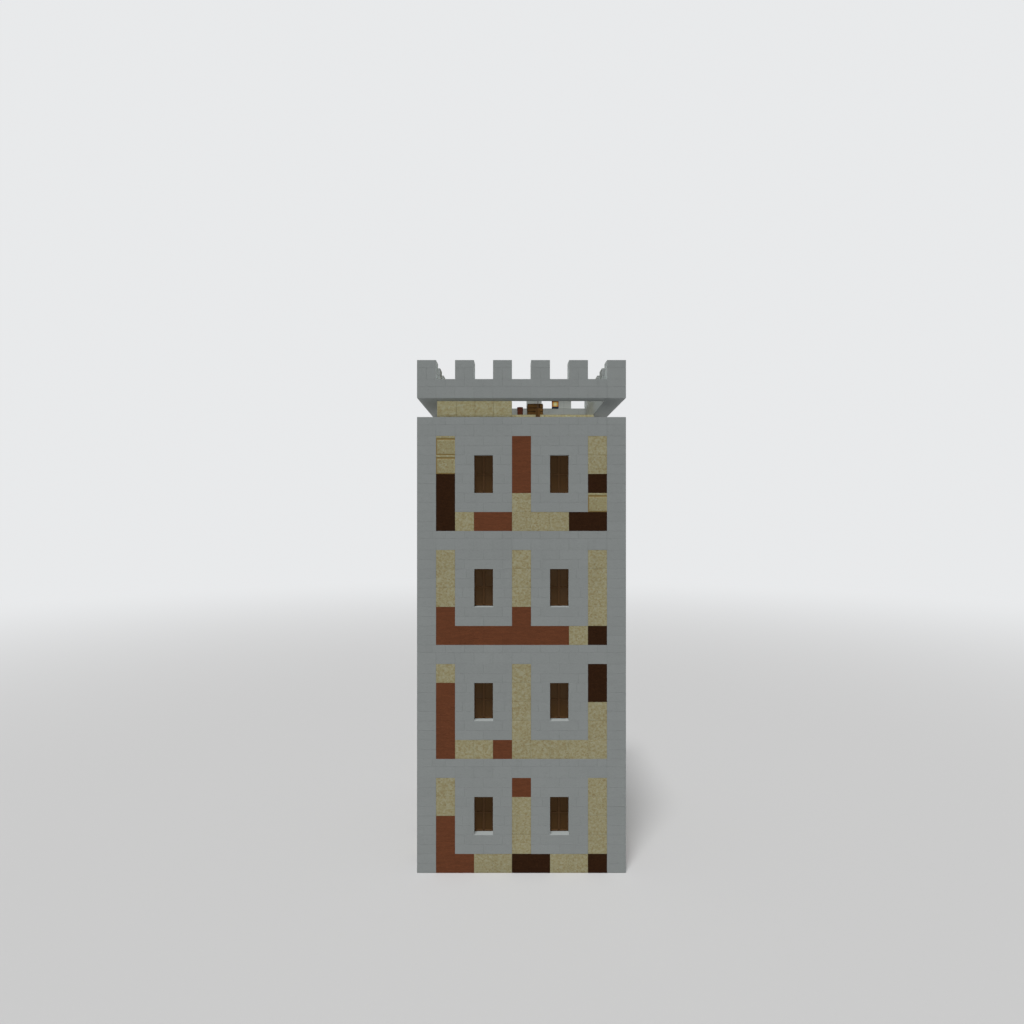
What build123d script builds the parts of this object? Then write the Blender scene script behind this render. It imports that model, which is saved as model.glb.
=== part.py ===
from build123d import *
import os

# A square tower house of four storeys. Grey stone piers, bands and window surrounds make a frame, and
# panels of sandstone, terracotta and dark brick blocks fill it, flush outside. The roof has a raised
# terrace with a sunken corner, an open slot all round and a battlemented parapet above the slot.
# The origin is on the ground at the centre of the plan. The front faces -Y and +Z is up.
# All sizes are in millimetres.

# The block that sets out the walls
BLOCK_LENGTH = 1000.0
COURSE_HEIGHT = 1000.0
WALL_THICKNESS = 1000.0
PANEL_THICKNESS = 950.0

# The walls: blocks between the corner piers, then courses from the foot of a storey
COLUMNS = 9
STOREYS = 4
BASE_COURSES = 1
SILL_COURSES = 1
WINDOW_COURSES = 2
LINTEL_COURSES = 1
BAND_COURSES = 1
WINDOW_COLUMNS = (3, 7)

# The windows
FRAME_SETBACK = 437.5
FRAME_DEPTH = 125.0
FRAME_WIDTH = 62.5
MULLION_WIDTH = 100.0
TRANSOM_HEIGHT = 62.5
PANE_THICKNESS = 24.0

# The cut sandstone blocks: a fascia along the head, a groove under it and a margin at the left and the foot
FASCIA_HEIGHT = 115.0
GROOVE_HEIGHT = 78.0
MARGIN_WIDTH = 62.5
MARGIN_DEPTH = 15.0

# The floors
GROUND_SLAB_THICKNESS = 300.0
SLAB_THICKNESS = 400.0
SLAB_BEARING_WIDTH = 200.0

# The roof
TERRACE_HEIGHT = 1000.0
TERRACE_LAP_WIDTH = 50.0
SUNKEN_COLUMNS = 5
PARAPET_HEIGHT = 1000.0
MERLON_HEIGHT = 1000.0

# The boarded crate on the terrace, from the left and back edges of the sunken corner to its middle
CRATE_WIDTH = 1000.0
CRATE_FROM_LEFT = 1500.0
CRATE_FROM_EDGE = 2500.0
BOARD_THICKNESS = 30.0
CRATE_BOARDS = 4
SEAM_WIDTH = 8.0
LID_THICKNESS = 40.0

# The lantern on its post, in the sunken corner, placed from its left and back edges
POST_FROM_LEFT = 1500.0
POST_FROM_BACK = 2500.0
POST_WIDTH = 250.0
POST_HEIGHT = 1000.0
POST_CHAMFER = 15.0
ARM_LENGTH = 1000.0
ARM_WIDTH = 40.0
ARM_HEIGHT = 850.0
FOOT_PLATE_WIDTH = 160.0
FOOT_PLATE_THICKNESS = 12.0
LANTERN_WIDTH = 375.0
LANTERN_FOOT_HEIGHT = 1000.0
LANTERN_TRAY_HEIGHT = 62.5
LANTERN_BAR_WIDTH = 30.0
LANTERN_GLASS_HEIGHT = 300.0
LANTERN_PLATE_HEIGHT = 25.0
LANTERN_ROOF_HEIGHT = 95.0
LANTERN_ROOF_TOP_WIDTH = 130.0
LANTERN_EAVE_WIDTH = 12.0
LANTERN_COLLAR_WIDTH = 60.0
LANTERN_COLLAR_HEIGHT = 30.0
LANTERN_STEM_WIDTH = 26.0
LANTERN_PANE_THICKNESS = 6.0
LAMP_RADIUS = 70.0
LAMP_HEIGHT = 200.0
LAMP_BEVEL = 30.0

# The clay pot at the edge of the sunken corner
POT_HEIGHT = 475.0
POT_RIM_RADIUS = 187.5
POT_BODY_RADIUS = 178.0
POT_RIM_HEIGHT = 70.0
POT_WALL_THICKNESS = 26.0
POT_FLOOR_THICKNESS = 30.0
POT_FROM_EDGE = 12.0
POT_FROM_LEFT = 500.0

# Stones of the panels
SANDSTONE = "sandstone"
TERRACOTTA = "terracotta"
DARK_BRICK = "dark_brick"
CUT_SANDSTONE = "cut_sandstone"

# The base course of each storey from left to right, as runs of like blocks
BASE_RUNS = (
    ((TERRACOTTA, 2), (SANDSTONE, 2), (DARK_BRICK, 2), (SANDSTONE, 2), (DARK_BRICK, 1)),
    ((TERRACOTTA, 1), (SANDSTONE, 2), (TERRACOTTA, 1), (SANDSTONE, 5)),
    ((TERRACOTTA, 7), (SANDSTONE, 1), (DARK_BRICK, 1)),
    ((DARK_BRICK, 1), (SANDSTONE, 1), (TERRACOTTA, 2), (SANDSTONE, 3), (DARK_BRICK, 2)),
)

# The upright strips of each storey, left, middle and right of its windows, as runs from the base course up
STRIP_RUNS = (
    (
        ((TERRACOTTA, 2), (SANDSTONE, 2)),
        ((SANDSTONE, 3), (TERRACOTTA, 1)),
        ((SANDSTONE, 4),),
    ),
    (
        ((TERRACOTTA, 3), (SANDSTONE, 1)),
        ((SANDSTONE, 4),),
        ((SANDSTONE, 2), (DARK_BRICK, 2)),
    ),
    (
        ((TERRACOTTA, 1), (SANDSTONE, 3)),
        ((TERRACOTTA, 1), (SANDSTONE, 3)),
        ((SANDSTONE, 4),),
    ),
    (
        ((DARK_BRICK, 2), (CUT_SANDSTONE, 2)),
        ((SANDSTONE, 1), (TERRACOTTA, 3)),
        ((CUT_SANDSTONE, 1), (DARK_BRICK, 1), (SANDSTONE, 2)),
    ),
)

# Each wall is the front wall turned about the tower's axis
SIDES = {"front": 0, "right": 90, "back": 180, "left": 270}

# Sizes that follow
INSIDE = COLUMNS * BLOCK_LENGTH
HALF_INSIDE = INSIDE / 2
HALF_OUTSIDE = HALF_INSIDE + WALL_THICKNESS
SURROUND_COURSES = SILL_COURSES + WINDOW_COURSES + LINTEL_COURSES
FIELD = (BASE_COURSES + SURROUND_COURSES) * COURSE_HEIGHT
BAND = BAND_COURSES * COURSE_HEIGHT
STOREY = FIELD + BAND
ROOF_LEVEL = STOREYS * STOREY
TERRACE_LEVEL = ROOF_LEVEL + TERRACE_HEIGHT
SLAB_SIDE = INSIDE + 2 * SLAB_BEARING_WIDTH
SUNKEN_LEFT = HALF_INSIDE - SUNKEN_COLUMNS * BLOCK_LENGTH
SUNKEN_BACK = -HALF_INSIDE + SUNKEN_COLUMNS * BLOCK_LENGTH
STRIP_COLUMNS = (1, (COLUMNS + 1) // 2, COLUMNS)
CRATE_AT = (SUNKEN_LEFT + CRATE_FROM_LEFT, SUNKEN_BACK + CRATE_FROM_EDGE)
POST_AT = (SUNKEN_LEFT + POST_FROM_LEFT, SUNKEN_BACK - POST_FROM_BACK)
POT_AT = (SUNKEN_LEFT + POT_FROM_LEFT, SUNKEN_BACK + POT_FROM_EDGE + POT_RIM_RADIUS)


def box(x0, y0, z0, x1, y1, z1):
    """A block from its lowest to its highest corner."""
    return Pos(x0, y0, z0) * Box(x1 - x0, y1 - y0, z1 - z0, align=(Align.MIN, Align.MIN, Align.MIN))


def save(name, solids):
    """Writes the solids of one piece, or of like pieces that don't touch, as one file."""
    whole = Compound([solid for piece in solids for solid in piece.solids()])
    export_step(whole, os.path.join("parts", name + ".step"))


def all_round(solids):
    """The same pieces on each of the four walls."""
    return [Rot(0, 0, angle) * solid for angle in SIDES.values() for solid in solids]


def column_x(column):
    """The left edge of a block column; the first column, beside the left pier, is number 1."""
    return -HALF_INSIDE + (column - 1) * BLOCK_LENGTH


def slab(top, side, thickness):
    """A square floor slab about the tower's axis."""
    return box(-side / 2, -side / 2, top - thickness, side / 2, side / 2, top)


# The frame of the walls, made for the front wall


def bands():
    """The band at the head of each storey, from the left corner to the next wall, cut for its floor slab."""
    pieces = []
    for storey in range(STOREYS):
        top = (storey + 1) * STOREY
        course = box(-HALF_OUTSIDE, -HALF_OUTSIDE, top - BAND, HALF_INSIDE, -HALF_INSIDE, top)
        pieces.append(course - slab(top, SLAB_SIDE, SLAB_THICKNESS))
    return pieces


def pier():
    """The left corner pier, one length to a storey."""
    feet = [storey * STOREY for storey in range(STOREYS)]
    return [box(-HALF_OUTSIDE, -HALF_OUTSIDE, z, -HALF_INSIDE, -HALF_INSIDE, z + FIELD) for z in feet]


def windows():
    """The left edge and the foot of each window opening."""
    foot = (BASE_COURSES + SILL_COURSES) * COURSE_HEIGHT
    return [(column_x(c), storey * STOREY + foot) for storey in range(STOREYS) for c in WINDOW_COLUMNS]


def sills_and_lintels():
    """The stones under and over each window, a block wider than it on each side."""
    pieces = []
    for x, z in windows():
        left = x - BLOCK_LENGTH
        right = x + 2 * BLOCK_LENGTH
        head = z + WINDOW_COURSES * COURSE_HEIGHT
        pieces.append(box(left, -HALF_OUTSIDE, z - SILL_COURSES * COURSE_HEIGHT, right, -HALF_INSIDE, z))
        top = head + LINTEL_COURSES * COURSE_HEIGHT
        pieces.append(box(left, -HALF_OUTSIDE, head, right, -HALF_INSIDE, top))
    return pieces


def jambs():
    """The stones on both sides of each window."""
    pieces = []
    for x, z in windows():
        for left in (x - BLOCK_LENGTH, x + BLOCK_LENGTH):
            head = z + WINDOW_COURSES * COURSE_HEIGHT
            pieces.append(box(left, -HALF_OUTSIDE, z, left + BLOCK_LENGTH, -HALF_INSIDE, head))
    return pieces


def window_lights():
    """The four glazed openings of a window frame, from its lower left corner, as x0, z0, x1, z1."""
    height = WINDOW_COURSES * COURSE_HEIGHT
    columns = (
        (FRAME_WIDTH, (BLOCK_LENGTH - MULLION_WIDTH) / 2),
        ((BLOCK_LENGTH + MULLION_WIDTH) / 2, BLOCK_LENGTH - FRAME_WIDTH),
    )
    rows = (
        (FRAME_WIDTH, (height - TRANSOM_HEIGHT) / 2),
        ((height + TRANSOM_HEIGHT) / 2, height - FRAME_WIDTH),
    )
    return [(x0, z0, x1, z1) for x0, x1 in columns for z0, z1 in rows]


def window_frames():
    """A frame with a mullion and a transom in each opening, set back in the wall."""
    front = -HALF_OUTSIDE + FRAME_SETBACK
    back = front + FRAME_DEPTH
    frame = box(0, front, 0, BLOCK_LENGTH, back, WINDOW_COURSES * COURSE_HEIGHT)
    for x0, z0, x1, z1 in window_lights():
        frame -= box(x0, front, z0, x1, back, z1)
    return [Pos(x, 0, z) * frame for x, z in windows()]


def window_glass():
    """A pane in each light, midway in the depth of the frame."""
    front = -HALF_OUTSIDE + FRAME_SETBACK + (FRAME_DEPTH - PANE_THICKNESS) / 2
    back = front + PANE_THICKNESS
    panes = [box(x0, front, z0, x1, back, z1) for x0, z0, x1, z1 in window_lights()]
    return [Pos(x, 0, z) * pane for x, z in windows() for pane in panes]


# The panels between the frame's stones


def margin_cut(x, z):
    """The groove and the margin in the outer face of one block, as the body to cut away."""
    head = z + COURSE_HEIGHT - FASCIA_HEIGHT
    back = -HALF_OUTSIDE + MARGIN_DEPTH
    below_fascia = box(x, -HALF_OUTSIDE, z, x + BLOCK_LENGTH, back, head)
    foot = z + MARGIN_WIDTH
    raised = box(x + MARGIN_WIDTH, -HALF_OUTSIDE, foot, x + BLOCK_LENGTH, back, head - GROOVE_HEIGHT)
    return below_fascia - raised


def base_course(stone):
    """The runs of one stone in the base courses."""
    pieces = []
    for storey in range(STOREYS):
        foot = storey * STOREY
        runs = BASE_RUNS[storey % len(BASE_RUNS)]
        column = 1
        for kind, blocks in runs:
            x0 = column_x(column)
            x1 = column_x(column + blocks)
            if kind == stone:
                head = foot + BASE_COURSES * COURSE_HEIGHT
                pieces.append(box(x0, -HALF_OUTSIDE, foot, x1, -HALF_OUTSIDE + PANEL_THICKNESS, head))
            column += blocks
    return pieces


def strips(stone):
    """The runs of one stone in the upright strips beside the windows."""
    pieces = []
    for storey in range(STOREYS):
        strip_foot = storey * STOREY + BASE_COURSES * COURSE_HEIGHT
        for column, runs in zip(STRIP_COLUMNS, STRIP_RUNS[storey % len(STRIP_RUNS)]):
            x = column_x(column)
            foot = strip_foot
            for kind, blocks in runs:
                head = foot + blocks * COURSE_HEIGHT
                if kind == stone:
                    run = box(x, -HALF_OUTSIDE, foot, x + BLOCK_LENGTH, -HALF_OUTSIDE + PANEL_THICKNESS, head)
                    if kind == CUT_SANDSTONE:
                        for block in range(blocks):
                            run -= margin_cut(x, foot + block * COURSE_HEIGHT)
                    pieces.append(run)
                foot = head
    return pieces


# The roof


def terrace_left():
    """The raised terrace to the left of the sunken corner."""
    reach = HALF_INSIDE + TERRACE_LAP_WIDTH
    return box(-reach, -reach, ROOF_LEVEL, SUNKEN_LEFT, reach, TERRACE_LEVEL)


def terrace_back():
    """The raised terrace behind the sunken corner."""
    reach = HALF_INSIDE + TERRACE_LAP_WIDTH
    return box(SUNKEN_LEFT, SUNKEN_BACK, ROOF_LEVEL, reach, reach, TERRACE_LEVEL)


def parapet():
    """The parapet over the front wall, from the left corner to the next wall."""
    top = TERRACE_LEVEL + PARAPET_HEIGHT
    return box(-HALF_OUTSIDE, -HALF_OUTSIDE, TERRACE_LEVEL, HALF_INSIDE, -HALF_INSIDE, top)


def merlons():
    """The merlons of the front wall: the left corner's, then one on every other block."""
    foot = TERRACE_LEVEL + PARAPET_HEIGHT
    head = foot + MERLON_HEIGHT
    pieces = [box(-HALF_OUTSIDE, -HALF_OUTSIDE, foot, -HALF_INSIDE, -HALF_INSIDE, head)]
    for column in range(2, COLUMNS, 2):
        x = column_x(column)
        pieces.append(box(x, -HALF_OUTSIDE, foot, x + BLOCK_LENGTH, -HALF_INSIDE, head))
    return pieces


# The crate, the lantern and the pot


def crate():
    """A box of boards laid flat, with a seam between one board and the next."""
    x, y = CRATE_AT
    half = CRATE_WIDTH / 2
    foot = TERRACE_LEVEL
    head = foot + CRATE_WIDTH - LID_THICKNESS
    body = box(x - half, y - half, foot, x + half, y + half, head)
    room = half - BOARD_THICKNESS
    body -= box(x - room, y - room, foot + BOARD_THICKNESS, x + room, y + room, head)
    board_height = CRATE_WIDTH / CRATE_BOARDS
    inner = half - SEAM_WIDTH
    for board in range(1, CRATE_BOARDS):
        z = foot + board * board_height - SEAM_WIDTH / 2
        ring = box(x - half, y - half, z, x + half, y + half, z + SEAM_WIDTH)
        body -= ring - box(x - inner, y - inner, z, x + inner, y + inner, z + SEAM_WIDTH)
    return body


def crate_lid():
    """The boards that close the crate."""
    x, y = CRATE_AT
    half = CRATE_WIDTH / 2
    top = TERRACE_LEVEL + CRATE_WIDTH
    lid = box(x - half, y - half, top - LID_THICKNESS, x + half, y + half, top)
    for board in range(1, CRATE_BOARDS):
        seam = x - half + board * CRATE_WIDTH / CRATE_BOARDS - SEAM_WIDTH / 2
        lid -= box(seam, y - half, top - SEAM_WIDTH, seam + SEAM_WIDTH, y + half, top)
    return lid


def lantern_post():
    """The timber post that stands on the roof slab."""
    x, y = POST_AT
    half = POST_WIDTH / 2
    post = box(x - half, y - half, ROOF_LEVEL, x + half, y + half, ROOF_LEVEL + POST_HEIGHT)
    return chamfer(post.faces().sort_by(Axis.Z)[-1].edges(), POST_CHAMFER)


def lantern_bracket():
    """The iron foot plate, upright and arm that carry the lantern beside the post."""
    x, y = POST_AT
    foot = ROOF_LEVEL + POST_HEIGHT
    half = ARM_WIDTH / 2
    plate = FOOT_PLATE_WIDTH / 2
    bracket = box(x - plate, y - plate, foot, x + plate, y + plate, foot + FOOT_PLATE_THICKNESS)
    bracket += box(x - half, y - half, foot, x + half, y + half, foot + ARM_HEIGHT)
    top = foot + ARM_HEIGHT
    bracket += box(x - half, y - half, top - ARM_WIDTH, x + ARM_LENGTH + half, y + half, top)
    return bracket


def lantern_levels():
    """The heights of the lantern's parts: its foot, then the tops of the tray, glass, plate and roof."""
    foot = ROOF_LEVEL + LANTERN_FOOT_HEIGHT
    tray = foot + LANTERN_TRAY_HEIGHT
    glass = tray + LANTERN_GLASS_HEIGHT
    plate = glass + LANTERN_PLATE_HEIGHT
    return foot, tray, glass, plate, plate + LANTERN_ROOF_HEIGHT


def lantern_frame():
    """The tray, corner bars, hipped roof and stem of the lantern, which hangs under the end of the arm."""
    x = POST_AT[0] + ARM_LENGTH
    y = POST_AT[1]
    half = LANTERN_WIDTH / 2
    foot, tray, glass, plate, roof = lantern_levels()
    frame = box(-half, -half, foot, half, half, tray)
    for left in (-half, half - LANTERN_BAR_WIDTH):
        for front in (-half, half - LANTERN_BAR_WIDTH):
            frame += box(left, front, tray, left + LANTERN_BAR_WIDTH, front + LANTERN_BAR_WIDTH, glass)
    frame += box(-half, -half, glass, half, half, plate)
    eave = LANTERN_WIDTH + 2 * LANTERN_EAVE_WIDTH
    frame += loft(
        [
            Pos(0, 0, plate) * Rectangle(eave, eave),
            Pos(0, 0, roof) * Rectangle(LANTERN_ROOF_TOP_WIDTH, LANTERN_ROOF_TOP_WIDTH),
        ]
    )
    collar = LANTERN_COLLAR_WIDTH / 2
    stem = LANTERN_STEM_WIDTH / 2
    arm_under = ROOF_LEVEL + POST_HEIGHT + ARM_HEIGHT - ARM_WIDTH
    frame += box(-collar, -collar, roof, collar, collar, roof + LANTERN_COLLAR_HEIGHT)
    frame += box(-stem, -stem, roof, stem, stem, arm_under)
    return Pos(x, y, 0) * frame


def lantern_glass():
    """A pane between each two corner bars of the lantern."""
    x = POST_AT[0] + ARM_LENGTH
    y = POST_AT[1]
    half = LANTERN_WIDTH / 2 - LANTERN_BAR_WIDTH
    front = (LANTERN_BAR_WIDTH - LANTERN_WIDTH - LANTERN_PANE_THICKNESS) / 2
    _, tray, glass, _, _ = lantern_levels()
    pane = box(-half, front, tray, half, front + LANTERN_PANE_THICKNESS, glass)
    return [Pos(x, y, 0) * Rot(0, 0, angle) * pane for angle in SIDES.values()]


def lantern_lamp():
    """The lamp that stands on the lantern's tray, with its head bevelled."""
    _, tray, _, _, _ = lantern_levels()
    lamp = Cylinder(LAMP_RADIUS, LAMP_HEIGHT, align=(Align.CENTER, Align.CENTER, Align.MIN))
    lamp = chamfer(lamp.edges().sort_by(Axis.Z)[-1], LAMP_BEVEL)
    return Pos(POST_AT[0] + ARM_LENGTH, POST_AT[1], tray) * lamp


def pot():
    """A straight-sided clay pot with a rim band, turned about its own axis."""
    rim_foot = POT_HEIGHT - POT_RIM_HEIGHT
    inner = POT_BODY_RADIUS - POT_WALL_THICKNESS
    outline = [
        (0, 0),
        (POT_BODY_RADIUS, 0),
        (POT_BODY_RADIUS, rim_foot),
        (POT_RIM_RADIUS, rim_foot),
        (POT_RIM_RADIUS, POT_HEIGHT),
        (inner, POT_HEIGHT),
        (inner, POT_FLOOR_THICKNESS),
        (0, POT_FLOOR_THICKNESS),
    ]
    body = revolve(Plane.XZ * make_face(Polyline(*outline, close=True)), Axis.Z)
    return Pos(POT_AT[0], POT_AT[1], TERRACE_LEVEL) * body


os.makedirs("parts", exist_ok=True)

for side, angle in SIDES.items():
    turn = Rot(0, 0, angle)
    save(side + "_bands", [turn * piece for piece in bands()])
    save(side + "_sills_lintels", [turn * piece for piece in sills_and_lintels()])
    save(side + "_jambs", [turn * piece for piece in jambs()])
    save(side + "_window_frames", [turn * piece for piece in window_frames()])
    save(side + "_parapet", [turn * parapet()])

save("corner_piers", all_round(pier()))
save("window_glass", all_round(window_glass()))
for stone in (SANDSTONE, TERRACOTTA, DARK_BRICK):
    save(stone + "_courses", all_round(base_course(stone)))
    save(stone + "_strips", all_round(strips(stone)))
save("cut_sandstone_blocks", all_round(strips(CUT_SANDSTONE)))

save("ground_floor", [slab(GROUND_SLAB_THICKNESS, INSIDE, GROUND_SLAB_THICKNESS)])
save("upper_floors", [slab(storey * STOREY, SLAB_SIDE, SLAB_THICKNESS) for storey in range(1, STOREYS)])
save("roof_slab", [slab(ROOF_LEVEL, SLAB_SIDE, SLAB_THICKNESS)])
save("terrace_left", [terrace_left()])
save("terrace_back", [terrace_back()])
save("merlons", all_round(merlons()))

save("crate", [crate()])
save("crate_lid", [crate_lid()])
save("lantern_post", [lantern_post()])
save("lantern_bracket", [lantern_bracket()])
save("lantern_frame", [lantern_frame()])
save("lantern_glass", lantern_glass())
save("lantern_lamp", [lantern_lamp()])
save("pot", [pot()])
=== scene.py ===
import logging
import math
from dataclasses import dataclass, field, replace
from enum import Enum, Flag, auto
from typing import Callable, Iterable, Mapping, Sequence

import bpy
import numpy as np
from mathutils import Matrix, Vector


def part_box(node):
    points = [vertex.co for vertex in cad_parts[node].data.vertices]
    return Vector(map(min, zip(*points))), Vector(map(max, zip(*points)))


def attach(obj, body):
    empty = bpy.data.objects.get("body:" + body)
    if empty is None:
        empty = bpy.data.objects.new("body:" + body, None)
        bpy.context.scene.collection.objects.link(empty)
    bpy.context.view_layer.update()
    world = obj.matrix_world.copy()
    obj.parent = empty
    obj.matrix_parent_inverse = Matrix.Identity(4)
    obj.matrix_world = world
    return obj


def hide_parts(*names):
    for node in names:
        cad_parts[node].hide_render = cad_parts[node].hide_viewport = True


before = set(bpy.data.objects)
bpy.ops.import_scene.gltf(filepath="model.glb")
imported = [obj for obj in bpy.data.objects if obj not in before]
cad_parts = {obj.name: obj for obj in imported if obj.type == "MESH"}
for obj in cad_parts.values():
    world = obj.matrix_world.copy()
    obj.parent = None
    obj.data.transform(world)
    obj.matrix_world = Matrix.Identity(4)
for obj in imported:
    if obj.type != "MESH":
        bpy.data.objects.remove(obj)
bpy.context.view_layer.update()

LOG = logging.getLogger("tower_house")

Colour = tuple[float, float, float]
Corner = tuple[float, float, float]
Pair = tuple[float, float]
Area = tuple[float, float, float, float]
Stops = tuple[tuple[float, Colour], ...]

BODY = "root"


# Setting out


@dataclass(frozen=True)
class SettingOut:
    """The sizes in metres that set out every wall, the same as those of the solids.

    Args:
        columns, storeys, storey: the blocks between two piers, the storeys and a storey's height.
        block, wall, panel: a block's side, and the thickness of the walls and panels.
        band: the height of the band at a storey's head.
        bearing: how far the slabs reach into the walls.
        sill, window_height: the sills' height above a storey's foot, and a window's height.
        window_columns: the columns that hold windows.
        bed_height: the height of a course round the windows and in the piers.
    """

    columns: int = 9
    storeys: int = 4
    storey: float = 6.0
    block: float = 1.0
    wall: float = 1.0
    panel: float = 0.95
    band: float = 1.0
    bearing: float = 0.2
    sill: float = 2.0
    window_height: float = 2.0
    window_columns: tuple[int, ...] = (3, 7)
    bed_height: float = 0.5

    @property
    def inner(self) -> float:
        """The inner face of the front wall, on y, and the left edge of its first block, on x."""
        return -self.columns * self.block / 2

    @property
    def outer(self) -> float:
        """The outer face of the front wall, on y, and its left corner, on x."""
        return self.inner - self.wall

    @property
    def roof(self) -> float:
        """The top of the walls."""
        return self.storeys * self.storey

    @property
    def terrace(self) -> float:
        """The top of the terrace, and the underside of the parapet."""
        return self.roof + self.block

    def feet(self) -> list[float]:
        """The foot of each storey."""
        return [storey * self.storey for storey in range(self.storeys)]

    def column(self, number: int) -> float:
        """The left edge of a column of blocks; number 1 stands beside the left pier."""
        return self.inner + (number - 1) * self.block

    def windows(self) -> list[Pair]:
        """The left edge and the sill's top of each window of a wall."""
        return [(self.column(c), foot + self.sill) for foot in self.feet() for c in self.window_columns]


SET = SettingOut()


class Side(Enum):
    """The four walls, by the quarter turns that bring the front wall there."""

    FRONT = 0
    RIGHT = 1
    BACK = 2
    LEFT = 3

    @property
    def word(self) -> str:
        """The wall's name in the names of nodes and pieces."""
        return self.name.lower()


class Seed(Enum):
    """The seeds of what differs from stone to stone; those made wall by wall add the wall's number."""

    BANDS = 100
    PIERS = 200
    SURROUNDS = 300
    PARAPET = 400
    MERLONS = 500
    SANDSTONE_COURSES = 600
    SANDSTONE_STRIPS = 700
    TERRACOTTA_COURSES = 800
    TERRACOTTA_STRIPS = 900
    DARK_BRICK_COURSES = 1000
    DARK_BRICK_STRIPS = 1100
    CUT_BLOCKS = 1200
    JOINERY = 1300
    TERRACE = 1400
    PAVING = 1500
    CRATE = 1600
    CRATE_LID = 1610
    BRACKET = 1700
    POST = 1710

    def on(self, side: Side) -> int:
        """The seed for one wall."""
        return self.value + side.value


class Face(Flag):
    """The faces of a stone that show, as seen from in front of its wall."""

    NONE = 0
    LEFT = auto()
    RIGHT = auto()
    FRONT = auto()
    BACK = auto()
    UNDER = auto()
    TOP = auto()


# The low faces on x, y and z and then the high ones, as arrays have them.
FACES = (Face.LEFT, Face.FRONT, Face.UNDER, Face.RIGHT, Face.BACK, Face.TOP)
THROUGH = Face.FRONT | Face.BACK
CORNER = Face.LEFT | Face.FRONT
ROUND_ABOUT = THROUGH | Face.LEFT | Face.RIGHT
ALL_FACES = ROUND_ABOUT | Face.UNDER | Face.TOP
# Painted fill light: the faces that shade falls on, the sides, the back and the underside, are painted paler
# by these shares.
PAINTED_FILL = dict.fromkeys((Face.LEFT, Face.RIGHT, Face.BACK, Face.UNDER), 1.0)


# Surfaces


@dataclass
class Shell:
    """Closed surfaces.

    Args:
        points: places, one row a point.
        faces: arrays of polygons, each array with polygons of one number of corners.
        marks: by name, a number or a vector for each point, which the finishes read.
    """

    points: np.ndarray
    faces: list[np.ndarray]
    marks: dict[str, np.ndarray] = field(default_factory=dict)

    def turned(self, quarters: int) -> "Shell":
        """Turns the shell about Z: a quarter turn puts (-y, x) in the place of (x, y).

        Args:
            quarters: the number of quarter turns.

        Returns:
            The turned shell.
        """
        points = self.points.copy()
        for _ in range(quarters % 4):
            points[:, 0], points[:, 1] = -points[:, 1], points[:, 0].copy()
        return Shell(points, self.faces, self.marks)

    def moved(self, x: float, y: float, z: float) -> "Shell":
        """The shell shifted by x, y and z."""
        return Shell(self.points + np.array((x, y, z)), self.faces, self.marks)

    @staticmethod
    def joined(shells: Iterable["Shell"]) -> "Shell":
        """Makes one shell of several, with the marks that they share.

        Args:
            shells: the shells; those without points are passed over.

        Returns:
            All of them as one.
        """
        shells = [shell for shell in shells if len(shell.points)]
        starts = np.cumsum([0] + [len(shell.points) for shell in shells])
        faces = [face + start for shell, start in zip(shells, starts) for face in shell.faces]
        names = set.intersection(*(set(shell.marks) for shell in shells))
        marks = {name: np.concatenate([shell.marks[name] for shell in shells]) for name in sorted(names)}
        return Shell(np.concatenate([shell.points for shell in shells]), faces, marks)

    def mesh(self, name: str, crease: float) -> bpy.types.Mesh:
        """Makes a mesh of the shell.

        Args:
            name: the mesh's name.
            crease: the angle in degrees above which edges stay sharp.

        Returns:
            The mesh, with the marks as its attributes.
        """
        mesh = bpy.data.meshes.new(name)
        corners = np.concatenate([face.ravel() for face in self.faces]).astype(np.int32)
        sizes = np.concatenate([np.full(len(face), face.shape[1]) for face in self.faces])
        starts = np.concatenate([[0], np.cumsum(sizes)[:-1]])
        mesh.vertices.add(len(self.points))
        mesh.vertices.foreach_set("co", self.points.astype(np.float32).ravel())
        mesh.loops.add(len(corners))
        mesh.loops.foreach_set("vertex_index", corners)
        mesh.polygons.add(len(sizes))
        mesh.polygons.foreach_set("loop_start", starts.astype(np.int32))
        mesh.polygons.foreach_set("use_smooth", np.ones(len(sizes), bool))
        mesh.update(calc_edges=True)
        for mark, values in self.marks.items():
            kind, key = ("FLOAT", "value") if values.ndim == 1 else ("FLOAT_VECTOR", "vector")
            attribute = mesh.attributes.new(mark, kind, "POINT")
            attribute.data.foreach_set(key, values.astype(np.float32).ravel())
        mesh.set_sharp_from_angle(angle=math.radians(crease))
        return mesh


def all_round(make: Callable[[Side], Shell]) -> Shell:
    """What a method makes in the front wall's place for each side, turned to its side, as one shell."""
    return Shell.joined(make(side).turned(side.value) for side in Side)


def repeated(faces: np.ndarray, points: int, bodies: int) -> np.ndarray:
    """One body's faces for each body, where every body has that number of points."""
    return (faces[None] + points * np.arange(bodies)[:, None, None]).reshape(-1, faces.shape[1])


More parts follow.
